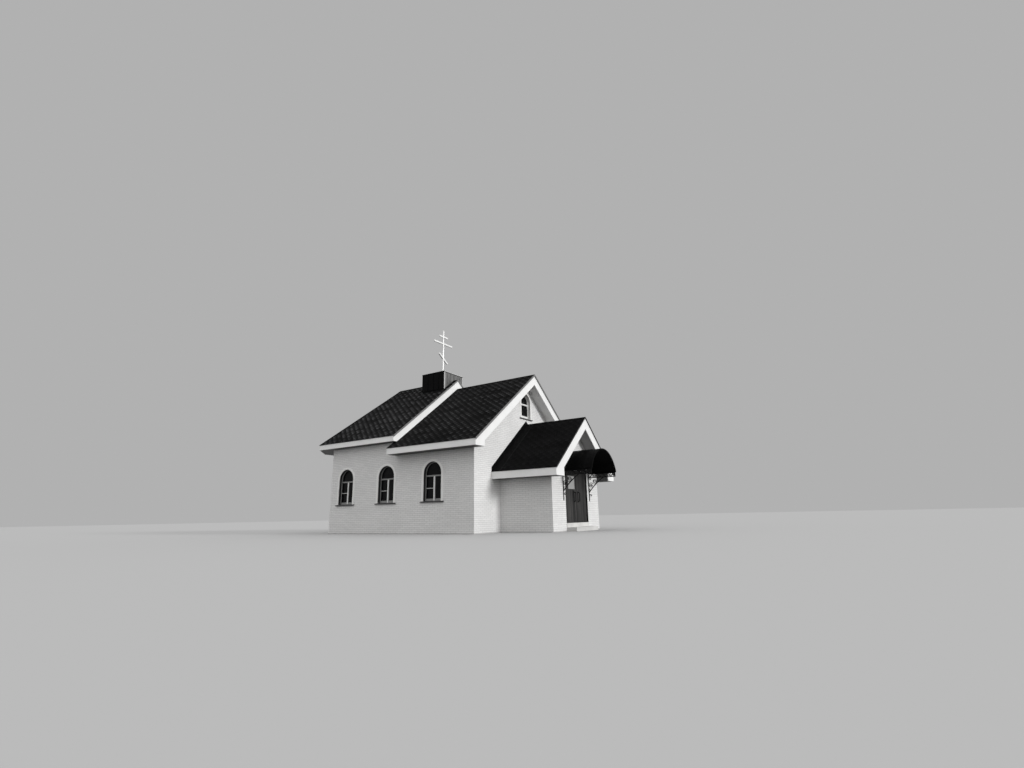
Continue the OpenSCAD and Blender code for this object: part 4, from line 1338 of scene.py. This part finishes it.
class CHAPEL_OT_lay_apron(Operator):
    """Lay the metal sheets on the porch roof beside the nave's front wall"""

    bl_idname = "chapel.lay_apron"
    bl_label = "Lay Apron"

    def execute(self, context):
        reach = PORCH.half + 0.010
        bottom, top, edge_top = 0.006, 0.020, 0.032
        before, behind = 0.008, 0.004
        y1 = low("porch_flashing").y - GAP
        y0 = y1 - settings().metal.apron
        sheets, edges = Draft(), Draft()
        down_slopes(sheets, PORCH, reach, y0, y1, bottom, top)
        down_slopes(edges, PORCH, reach, y0 - before, y0 + behind, bottom, edge_top)
        solid_piece("porch_apron", sheets, "apron")
        solid_piece("porch_apron_edge", edges, "apron_edge", bevel=0.001)
        return {"FINISHED"}


class CHAPEL_OT_panel_boards(Operator):
    """Face the eave boards with boards and line the eave boxes"""

    bl_idname = "chapel.panel_boards"
    bl_label = "Panel Boards"

    def execute(self, context):
        b = settings().boards
        faces, porch_faces = Draft(), Draft()
        before_wall = 0.02
        ring = [
            (RAISED.half, RAISED.start + GAP), (RAISED.half, TURN_Y), (TURN_X, REAR_Y),
            (-TURN_X, REAR_Y), (-RAISED.half, TURN_Y), (-RAISED.half, RAISED.start + GAP),
        ]
        for ends in zip(ring, ring[1:]):
            self.boards(faces, ends, RAISED, b.panel)
        for side in (-1, 1):
            ends = side_run(side, FRONT.half, FRONT.start + GAP, FRONT.end)
            self.boards(faces, ends, FRONT, b.panel)
            ends = side_run(side, PORCH.half, PORCH.start + GAP, PORCH.end - before_wall)
            self.boards(porch_faces, ends, PORCH, b.porch_panel)
        raised("eave_board_faces", faces, b.relief, "white_board", taper=0.997)
        raised("porch_eave_board_faces", porch_faces, b.relief, "white_board", taper=0.99)
        self.linings()
        return {"FINISHED"}

    def boards(self, draft, ends, roof, panel):
        """Boards side by side between the ends, in the height of a roof's eave boards."""
        joint, foot_margin, top_margin = settings().boards.groove / 4, 0.006, 0.012
        bottom, top = roof.box + foot_margin, roof.eave - top_margin
        long = math.dist(*ends)
        count = max(1, round(long / panel))
        step = long / count
        for k in range(count):
            outline = rectangle(k * step + joint, bottom, (k + 1) * step - joint, top)
            draft.face(upright(*ends).sunk(outline))

    def linings(self):
        """Ribs across the level soffits, which look down."""
        ribs = Draft()
        near_wall, short = 0.006, 0.002
        for roof, inner, y0, y1 in (
            (FRONT, WALL_X, FRONT.start + BOARD, FRONT.end),
            (PORCH, PORCH_X, PORCH.start + BOARD, PORCH.end),
            (RAISED, WALL_X, STEP_Y, CORNER_Y),
        ):
            x0, x1 = inner + near_wall, roof.half - BOARD - short
            for side in (-1, 1):
                for y, end in rib_rows(y0, y1, short):
                    loop = rectangle(side * x0, y, side * x1, end)[::-side]
                    ribs.face([(*p, roof.box + SINK) for p in loop])
        # Ribs in the soffit finish, painted shade of the eaves
        raised("eave_lining_ribs", ribs, settings().boards.relief, "soffit", taper=0.97)


class CHAPEL_OT_fit_windows(Operator):
    """Fit mullions, casements, transoms, glazing bars and reveal linings to the windows"""

    bl_idname = "chapel.fit_windows"
    bl_label = "Fit Windows"

    # The bars lie within the frame's depth
    margin = 0.008
    front, back = REVEAL + margin, REVEAL + FRAME_D - margin

    def execute(self, context):
        for name, side in SIDES:
            turn = Quaternion((0, 0, 1), math.radians(90 * side))
            places = [(Vector((side * WALL_X, y, 0)), turn) for y in WINDOWS_Y]
            for label, draft, paint, bevel in (
                ("mullions", self.mullion(side), "window_white", 0.002),
                # Casements in the grey casement finish, painted shade
                ("casements", self.casements(), "casement", 0.002),
                ("window_sleeves", self.sleeve(), "reveal", 0.0),
            ):
                set_out(f"{name}_{label}", draft, places, paint, bevel=bevel)
        attic = self.attic().moved(Matrix.Translation((0, FRONT_Y, 0)))
        solid_piece("gable_window_bars", attic, "window_white", bevel=0.002)
        return {"FINISHED"}

    def bar(self, draft, x, z, proud=0.0):
        draft.box((x[0], self.front - proud, z[0]), (x[1], self.back, z[1]))

    def ring(self, draft, x, z, w):
        """Four bars round a light: w gives their widths left, right, below and above."""
        self.bar(draft, (x[0], x[0] + w[0]), z)
        self.bar(draft, (x[1] - w[1], x[1]), z)
        inner = (x[0] + w[0], x[1] - w[1])
        self.bar(draft, inner, (z[0], z[0] + w[2]))
        self.bar(draft, inner, (z[1] - w[3], z[1]))

    def head(self, draft, half, bottom, spring, w, y0, y1):
        """Bent bar round an arched light, with legs down to its bottom."""
        lines = []
        for r in (half, half - w):
            turn = [(r, bottom), *arc(spring, r), (-r, bottom)]
            lines.append([(x, y0, z) for x, z in turn])
        draft.band(*lines, (0, y1 - y0, 0))

    def light(self, draft, half, foot, spring, rail, stile):
        """A bar across the window under the bent bar of its arched light."""
        proud = settings().windows.proud
        self.bar(draft, (-half, half), (foot, foot + rail), proud)
        self.head(draft, half, foot + rail + GAP, spring, stile, self.front, self.back)

    def levels(self):
        """Bottom and top of the casements of a side window."""
        w = settings().windows
        return WIN_SILL + WIN_FRAME, WIN_SPRING - w.transom_drop - w.transom / 2

    def mullion(self, side):
        """Mullion, and the glazing bar of the casement on the given side."""
        w = settings().windows
        bottom, top = self.levels()
        draft = Draft()
        x = (-w.mullion / 2, w.mullion / 2)
        self.bar(draft, x, (bottom + GAP, top - GAP), w.proud)
        near = w.mullion / 2 + w.meeting + GAP
        far = WIN_W / 2 - WIN_FRAME - w.stile - 2 * GAP
        x0, x1 = sorted((side * near, side * far))
        z, thin = bottom + (top - bottom) * w.bar_up, 0.004
        draft.box((x0, self.front + thin, z), (x1, self.back - thin, z + w.bar))
        return draft

    def casements(self):
        """Transom, casements and the bar round the arched light."""
        w = settings().windows
        bottom, top = self.levels()
        draft = Draft()
        half = WIN_W / 2 - WIN_FRAME - GAP
        self.light(draft, half, top, WIN_SPRING, w.transom, w.stile)
        for side in (-1, 1):
            x = sorted((side * (w.mullion / 2 + GAP), side * half))
            sides = (w.stile, w.meeting)[::-side]
            self.ring(draft, x, (bottom + GAP, top - GAP), (*sides, w.rail, w.stile))
        return draft

    def attic(self):
        """Bars of the gable window: one light under an arched one."""
        w = settings().windows
        draft = Draft()
        half = ATTIC_W / 2 - WIN_FRAME - GAP
        bottom, top = ATTIC_SILL + WIN_FRAME, ATTIC_SPRING - w.transom_drop - w.attic_rail / 2
        self.light(draft, half, top, ATTIC_SPRING, w.attic_rail, w.stile)
        sizes = (w.stile, w.stile, w.attic_foot, w.stile)
        self.ring(draft, (-half, half), (bottom + GAP, top - GAP), sizes)
        return draft

    def sleeve(self):
        """Thin lining of a reveal's sides and arch, from the sill up."""
        draft, thick = Draft(), settings().windows.sleeve
        margin, sill_t, back_from_face = 0.0005, 0.014, 0.004
        half, foot = WIN_W / 2 - margin, WIN_SILL + sill_t
        self.head(draft, half, foot, WIN_SPRING, thick, back_from_face, REVEAL - GAP)
        return draft


class CHAPEL_OT_plank_doors(Operator):
    """Plank both faces of the door leaves and hang the blank notice"""

    bl_idname = "chapel.plank_doors"
    bl_label = "Plank Doors"

    def execute(self, context):
        d = settings().doors
        for name, _ in SIDES:
            self.planks(name)
        y = low("left_door").y - d.relief
        sheet, lining, thin = Draft(), Draft(), 0.003
        x1, z1 = NOTICE_X + d.notice_w, NOTICE_Z + d.notice_h
        sheet.box((NOTICE_X, y - thin, NOTICE_Z), (x1, y + SINK, z1))
        solid_piece("blank_notice", sheet, "notice", body="left_leaf", bevel=0.001)
        a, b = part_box("door_frame")
        for x in (a.x, b.x - thin):
            lining.box((x, PORCH_Y + GAP, a.z + GAP), (x + thin, a.y - GAP, b.z - GAP))
        solid_piece("doorway_lining", lining, "door_core")
        return {"FINISHED"}

    def planks(self, name):
        """Planks on both faces of a leaf, with the same tones on both leaves."""
        d = settings().doors
        a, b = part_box(name + "_door")
        draft, margin = Draft(), 0.004
        chance = random.Random(d.seed)
        step = (b.x - a.x - 2 * margin) / d.planks
        for k in range(d.planks):
            x0 = a.x + margin + k * step + d.groove / 2
            x1 = x0 + step - d.groove
            tone = chance.random()
            for y, left, right in ((a.y + SINK, x0, x1), (b.y - SINK, x1, x0)):
                outline = rectangle(left, a.z + margin, right, b.z - margin)
                draft.face([(x, y, z) for x, z in outline], tone=tone)
        thick = d.relief + SINK
        raised(name + "_door_planks", draft, thick, "door_wood", name + "_leaf", taper=0.985)


class CHAPEL_OT_fit_hardware(Operator):
    """Fit the plates under the pull handles, the hinges' screws and the lamp's ring"""

    bl_idname = "chapel.fit_hardware"
    bl_label = "Fit Hardware"

    def execute(self, context):
        fixed = []
        for name, side in SIDES:
            face = low(name + "_door").y
            moving = self.hinge_screws(name, side, face, fixed)
            moving += self.pull_plate(name, side, face - settings().doors.relief)
            self.screws(name + "_screws", moving, name + "_leaf")
        self.screws("hinge_screws", fixed, "chapel")
        self.lamp_ring()
        return {"FINISHED"}

    def screws(self, name, places, body):
        screw = bolt_head(settings().metal.screw)
        set_out(name, screw, places, "wrought_iron", body, smooth=True)

    def hinge_screws(self, name, side, face, fixed):
        """Places of a leaf's hinge screws; those in the door frame are added to fixed."""
        moving, out, ups = [], side * 0.030, (0.015, 0.045)
        pin = side * (high("right_fittings").x - HINGE_PIN)
        y = face - HINGE_PLATE
        bottom, top = low(name + "_fittings").z, high(name + "_fittings").z - HINGE_HALF
        for z in (bottom, (bottom + top) / 2, top):
            for up in ups:
                moving.append(Vector((pin - out, y, z + up)))
                fixed.append(Vector((pin + out, y, z + up - HINGE_HALF)))
        return moving

    def pull_plate(self, name, side, y):
        """Plate with cut corners under a pull; gives the places of its screws."""
        m = settings().metal
        x, half_w, half_h = side * PULL_X, m.plate_w / 2, m.plate_h / 2
        cut, proud, out, from_end = 0.008, 0.003, 0.009, 0.012
        outline = []
        for sx, sz, cx, cz in (
            (-1, -1, cut, 0), (1, -1, cut, 0), (1, -1, 0, cut), (1, 1, 0, cut),
            (1, 1, cut, 0), (-1, 1, cut, 0), (-1, 1, 0, cut), (-1, -1, 0, cut),
        ):
            outline.append((x + sx * (half_w - cx), y + SINK, PULL_Z + sz * (half_h - cz)))
        plate = Draft()
        plate.prism(outline, (0, -proud - SINK, 0))
        solid_piece(name + "_pull_plate", plate, "wrought_iron", name + "_leaf")
        up = half_h - from_end
        return [Vector((x + dx, y - proud, PULL_Z + dz)) for dx in (-out, out) for dz in (-up, up)]

    def lamp_ring(self):
        a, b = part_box("porch_lamp")
        size, before_back = (b.x - a.x) / 2, 0.030
        profile = [
            (size - 0.014, 0.005), (size + 0.001, 0.005), (size + 0.002, 0.0),
            (size + 0.001, -0.008), (size - 0.004, -0.010),
        ]
        ring = Draft()
        middle = ((a.x + b.x) / 2, b.y - before_back, (a.z + b.z) / 2)
        ring.turned(profile, middle, sides=32)
        solid_piece("lamp_ring", ring, "wrought_iron", smooth=True)


class CHAPEL_OT_trim_canopy(Operator):
    """Trim the canopy with seams, a rolled edge, rivets and a dark sheet at its back, which stands
    in for the shade inside it
    """

    bl_idname = "chapel.trim_canopy"
    bl_label = "Trim Canopy"

    def execute(self, context):
        m = settings().metal
        a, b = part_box("canopy_shell")
        rise = b.z - a.z
        radius = (b.x ** 2 + rise ** 2) / (2 * rise)
        middle = b.z - radius

        def arch(r, y, bottom, steps=56):
            start = math.asin((bottom - middle) / r)
            return [(x, y, z) for x, z in arc(middle, r, start, steps)]

        seams, wide, foot, sunk = Draft(), 0.008, 0.004, 0.002
        for k in range(m.seams):
            y = a.y + (b.y - a.y) * (k + 1) / (m.seams + 1) - wide / 2
            lines = (arch(r, y, a.z + foot) for r in (radius + m.seam, radius - sunk))
            seams.band(*lines, (0, wide, 0))
        solid_piece("canopy_seams", seams, "canopy_sheet", bevel=0.001)
        edge, inset = Draft(), 0.004
        edge.tube(arch(radius - inset, a.y + inset, a.z), m.bead, Vector((0, 1, 0)))
        solid_piece("canopy_edge", edge, "canopy_sheet", smooth=True)
        bar, up, gaps = radius - CANOPY_T - CANOPY_BAR / 2, 0.03, 20
        places = [Vector(p) for p in arch(bar, a.y, a.z + up, gaps)]
        set_out("canopy_rivets", bolt_head(m.rivet), places, "wrought_iron", smooth=True)
        # A near-black sheet on the wall inside the arch: painted shade under the canopy
        back, before_wall, thick = Draft(), 0.007, 0.008
        inner = radius - CANOPY_T - CANOPY_BAR + sunk
        outline = arch(inner, b.y - before_wall, high("door_frame").z + GAP)
        back.prism(outline, (0, thick, 0))
        solid_piece("canopy_back", back, "canopy_sheet")
        return {"FINISHED"}


class CHAPEL_OT_trim_brackets(Operator):
    """Bind the brackets' scrolls with collars and bolt their bars to the wall"""

    bl_idname = "chapel.trim_brackets"
    bl_label = "Trim Brackets"

    # Depths of the bolts below a bracket's top
    drops = (0.06, 0.58, 1.08)

    def execute(self, context):
        m = settings().metal
        proud, half_wide = 0.003, 0.011
        for name, _ in SIDES:
            a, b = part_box(name + "_bracket")
            x = (a.x + b.x) / 2
            collar = Draft()
            size = Vector(((b.x - a.x) / 2 + proud, half_wide, m.collar / 2))
            collar.box(-size, size)
            bands = [Vector((x, b.y - out, b.z - BAND_MIDDLE)) for out in BAND_JOINTS]
            bolts = [Vector((x, b.y - BRACKET_BAR, b.z - drop)) for drop in self.drops]
            name += "_bracket"
            set_out(name + "_collars", collar, bands, "wrought_iron", bevel=0.002)
            set_out(name + "_bolts", bolt_head(m.bolt), bolts, "wrought_iron", smooth=True)
        return {"FINISHED"}


class CHAPEL_OT_clad_ridge_box(Operator):
    """Clad the ridge box with sheets, seams, corner strips and flashings"""

    bl_idname = "chapel.clad_ridge_box"
    bl_label = "Clad Ridge Box"

    def execute(self, context):
        m = settings().metal
        a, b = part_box("ridge_box")
        chance = random.Random(m.seed)
        corners = rectangle(a.x, a.y, b.x, b.y)
        self.top = b.z - 2 * GAP
        proud, half_seam = 0.003, 0.004
        long, edge = b.x - a.x, m.cladding + proud
        strips, rear = Draft(), Draft()
        for name, paint, walls, count in (
            # Ends in the pale sheet, which is painted light and reflection; sides in the dark sheet
            # of the same cladding
            ("ridge_box_ends", "pale_sheet", (0, 2), 6),
            ("ridge_box_sides", "dark_sheet", (1, 3), 4),
        ):
            sheets, seams = Draft(), Draft()
            for k in walls:
                wall = upright(corners[k], corners[(k + 1) % 4])
                for i in range(count):
                    u0, u1 = (long * (i + e) / count for e in (0, 1))
                    outline = wall.sunk(self.outline(wall, u0, u1))
                    sheets.face(outline, tone=chance.random())
                    if i:
                        out = m.cladding + m.seam
                        self.bar(seams, wall, u0 - half_seam, u0 + half_seam, out)
                # Corner strips: pale on the front as painted highlight, dark sheet at the rear
                if paint == "pale_sheet":
                    for u in (-edge, long - m.strip + edge):
                        self.bar(rear if k else strips, wall, u, u + m.strip, edge)
            raised(name, sheets, m.cladding, paint, taper=0.985)
            solid_piece(name + "_seams", seams, paint, bevel=0.001)
        a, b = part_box("ridge_box_cap")
        thick, bottom, top = 0.004, 0.020, 0.056
        z0, z1 = a.z + bottom, a.z + top
        strips.box((a.x, a.y - thick, z0), (b.x, a.y, z1))
        rear.box((a.x, b.y, z0), (b.x, b.y + thick, z1))
        # Front strips and cap edge in the pale strip finish, painted highlight; the rear ones in
        # the dark sheet
        solid_piece("ridge_box_strips", strips, "strip", bevel=0.001)
        solid_piece("ridge_box_rear_strips", rear, "dark_sheet", bevel=0.001)
        self.skirt(m.skirt)
        return {"FINISHED"}

    def outline(self, wall, u0, u1):
        """Flat outline of a stretch of the box's wall, from the flashing to the cap."""
        over_roof = 0.028
        foot = [RAISED.top(wall.at(u, 0).x) + over_roof for u in (u0, u1)]
        return [(u0, foot[0]), (u1, foot[1]), (u1, self.top), (u0, self.top)]

    def bar(self, draft, wall, u0, u1, out):
        """Upright bar on the box's wall that stands out from it."""
        draft.prism(wall.sunk(self.outline(wall, u0, u1)), wall.n * (out + SINK))

    def skirt(self, wide):
        """Flashing on the slopes round the box."""
        a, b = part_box("ridge_box")
        draft, rise, thick = Draft(), 0.006, 0.022
        for side in (-1, 1):
            x, far = side * b.x, side * (b.x + wide)
            for outline in (
                rectangle(x, a.y - wide, far, b.y + wide),
                rectangle(0, a.y - wide, x, a.y), rectangle(0, b.y, x, b.y + wide),
            ):
                draft.prism([(px, py, RAISED.top(px) + rise) for px, py in outline], (0, 0, thick))
        solid_piece("ridge_box_skirt", draft, "dark_sheet")


class CHAPEL_OT_trim_cross(Operator):
    """Sleeve the cross's arms, close its tubes with caps and bind them with collars"""

    bl_idname = "chapel.trim_cross"
    bl_label = "Trim Cross"

    def execute(self, context):
        m = settings().metal
        a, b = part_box("cross")
        y, post = (a.y + b.y) / 2, (b.y - a.y) / 2
        up, short = (0, 0, 1), 0.002
        draft = Draft()
        cap = [(1.06, -0.012), (1.10, 0.0), (0.95, 0.006), (0.5, 0.009)]
        draft.turned([(post * r, h) for r, h in cap], (0, y, b.z), up, sides=20)
        foot = [(0.070, 0.0), (0.070, 0.010), (0.050, 0.014), (0.050, 0.060), (0.038, 0.066)]
        draft.turned(foot, (0, y, a.z), up, sides=24)
        collar = [(post + r, h) for r, h in (
            (0.001, -0.047), (0.005, -0.045), (0.005, 0.045), (0.001, 0.047)
        )]
        for z, half, tilt in CROSS_ARMS:
            turn = math.radians(tilt)
            way = Vector((math.cos(turn), 0, -math.sin(turn)))
            for side in (-1, 1):
                end = Vector((0, y, z)) + way * (side * half)
                tip = [(CROSS_ARM * r, h) for r, h in cap]
                draft.turned(tip, end, way * side, sides=16)
            sleeve = Draft()
            size = Vector((half - short, m.sleeve_d / 2, m.sleeve_t / 2))
            sleeve.box(-size, size)
            sleeve.moved(Matrix.Translation((0, y, z)) @ Matrix.Rotation(turn, 4, "Y"))
            draft.add(sleeve.points, sleeve.faces)
            draft.turned(collar, (0, y, z), up, sides=20)
        solid_piece("cross_sleeves", draft, "cross_metal", smooth=True)
        return {"FINISHED"}


# The photograph's camera: place, yaw, pitch and roll in degrees, and focal length in pixels
CAMERA_PLACE = (-19.1794, -14.7343, 0.6026)
CAMERA_TURNS = (57.2891, 14.5817, -1.1093)
FOCAL_PIXELS = 508.5259
PHOTO_WIDTH = 1024
SENSOR = 36.0


class CHAPEL_OT_set_stage(Operator):
    """Make the floor, the light and the camera"""

    bl_idname = "chapel.set_stage"
    bl_label = "Set Stage"

    def execute(self, context):
        stage = settings().stage
        context.scene.view_settings.view_transform = "Standard"
        self.floor(stage)
        self.world(stage)
        self.key(stage)
        self.camera()
        return {"FINISHED"}

    def show(self, name, data):
        """An object of its own, shown in the scene."""
        made = bpy.data.objects.new(name, data)
        bpy.context.scene.collection.objects.link(made)
        return made

    def backed(self, nodes, unseen, seen):
        """One colour for the light, another for the camera, also in gloss and through glass."""
        path = nodes.add("ShaderNodeLightPath").outputs
        ray = path["Is Camera Ray"]
        for name in ("Is Glossy Ray", "Is Transmission Ray"):
            ray = nodes.math("MAXIMUM", ray, path[name])
        return nodes.mix(unseen, seen, ray)

    def floor(self, stage):
        size, drop = 400.0, 0.001
        draft = Draft()
        draft.face([(x, y, -drop) for x, y in rectangle(-size, -size, size, size)])
        paint = Paint("stage_floor", 1.0, specular=0.0)
        paint.fill(paint.shader, {"Base Color": self.backed(paint, stage.bounce, stage.floor)})
        floor = self.show("floor", draft.mesh("floor"))
        floor.data.materials.append(paint.material)
        floor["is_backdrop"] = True

    def world(self, stage):
        """Soft light from all round, and a plain background."""
        world = bpy.data.worlds.new("stage world")
        world.use_nodes = True
        nodes = Nodes(world.node_tree)
        place = nodes.add("ShaderNodeTexCoord").outputs["Generated"]
        rise = nodes.add("ShaderNodeSeparateXYZ", {0: place}).outputs[2]
        light = nodes.spread(rise, stage.horizon, stage.zenith, 0.0, 1.0)
        inputs = {"Color": self.backed(nodes, light, stage.backdrop), "Strength": 1.0}
        nodes.fill(nodes.tree.nodes["Background"], inputs)
        bpy.context.scene.world = world

    def key(self, stage):
        """A soft light from the front and above."""
        width, aim = math.radians(12), Vector((-0.08, 1.0, -0.26))
        lamp = bpy.data.lights.new("key", "SUN")
        lamp.energy = stage.key
        lamp.angle = width
        key = self.show("key", lamp)
        key.rotation_mode = "QUATERNION"
        key.rotation_quaternion = aim.to_track_quat("-Z", "Y")

    def camera(self):
        """Camera at the photograph's viewpoint."""
        yaw, pitch, roll = (math.radians(a) for a in CAMERA_TURNS)
        level = math.cos(pitch)
        ahead = Vector((math.sin(yaw) * level, math.cos(yaw) * level, math.sin(pitch)))
        right = Vector((math.cos(yaw), -math.sin(yaw), 0))
        up = right.cross(ahead)
        across = right * math.cos(roll) + up * math.sin(roll)
        above = up * math.cos(roll) - right * math.sin(roll)
        data = bpy.data.cameras.new("camera")
        data.sensor_fit = "HORIZONTAL"
        data.sensor_width = SENSOR
        data.lens = FOCAL_PIXELS / PHOTO_WIDTH * SENSOR
        data.clip_start, data.clip_end = 0.1, 2000.0
        camera = self.show("camera", data)
        turn = Matrix((across, above, -ahead)).transposed().to_4x4()
        camera.matrix_world = Matrix.Translation(CAMERA_PLACE) @ turn
        bpy.context.scene.camera = camera


class CHAPEL_PT_panel(Panel):
    """Steps that build the chapel's looks"""

    bl_label = "Small Chapel"
    bl_idname = "CHAPEL_PT_panel"
    bl_space_type = "VIEW_3D"
    bl_region_type = "UI"
    bl_category = "Chapel"

    def draw(self, context):
        for step in STEPS:
            self.layout.operator(step.bl_idname)


STEPS = (
    CHAPEL_OT_finish_solids, CHAPEL_OT_lay_bricks, CHAPEL_OT_lay_shingles, CHAPEL_OT_cap_ridges,
    CHAPEL_OT_line_gables, CHAPEL_OT_cap_verges, CHAPEL_OT_lay_apron, CHAPEL_OT_panel_boards,
    CHAPEL_OT_fit_windows, CHAPEL_OT_plank_doors, CHAPEL_OT_fit_hardware, CHAPEL_OT_trim_canopy,
    CHAPEL_OT_trim_brackets, CHAPEL_OT_clad_ridge_box, CHAPEL_OT_trim_cross, CHAPEL_OT_set_stage,
)
CLASSES = (
    ChapelColours, ChapelBricks, ChapelShingles, ChapelBoards, ChapelWindows, ChapelDoors,
    ChapelMetal, ChapelStage, ChapelSettings, *STEPS, CHAPEL_PT_panel,
)


def register():
    for item in CLASSES:
        bpy.utils.register_class(item)
    bpy.types.Scene.chapel = PointerProperty(
        name="Chapel", description="Looks of the small chapel", type=ChapelSettings
    )


def unregister():
    del bpy.types.Scene.chapel
    for item in reversed(CLASSES):
        bpy.utils.unregister_class(item)


def main():
    register()
    for step in STEPS:
        group, name = step.bl_idname.split(".")
        getattr(getattr(bpy.ops, group), name)()
    boxes = {"cad": cad_box, "visual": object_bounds()}
    {key: [list(corner) for corner in box] for key, box in boxes.items()}


if __name__ == "__main__":
    main()
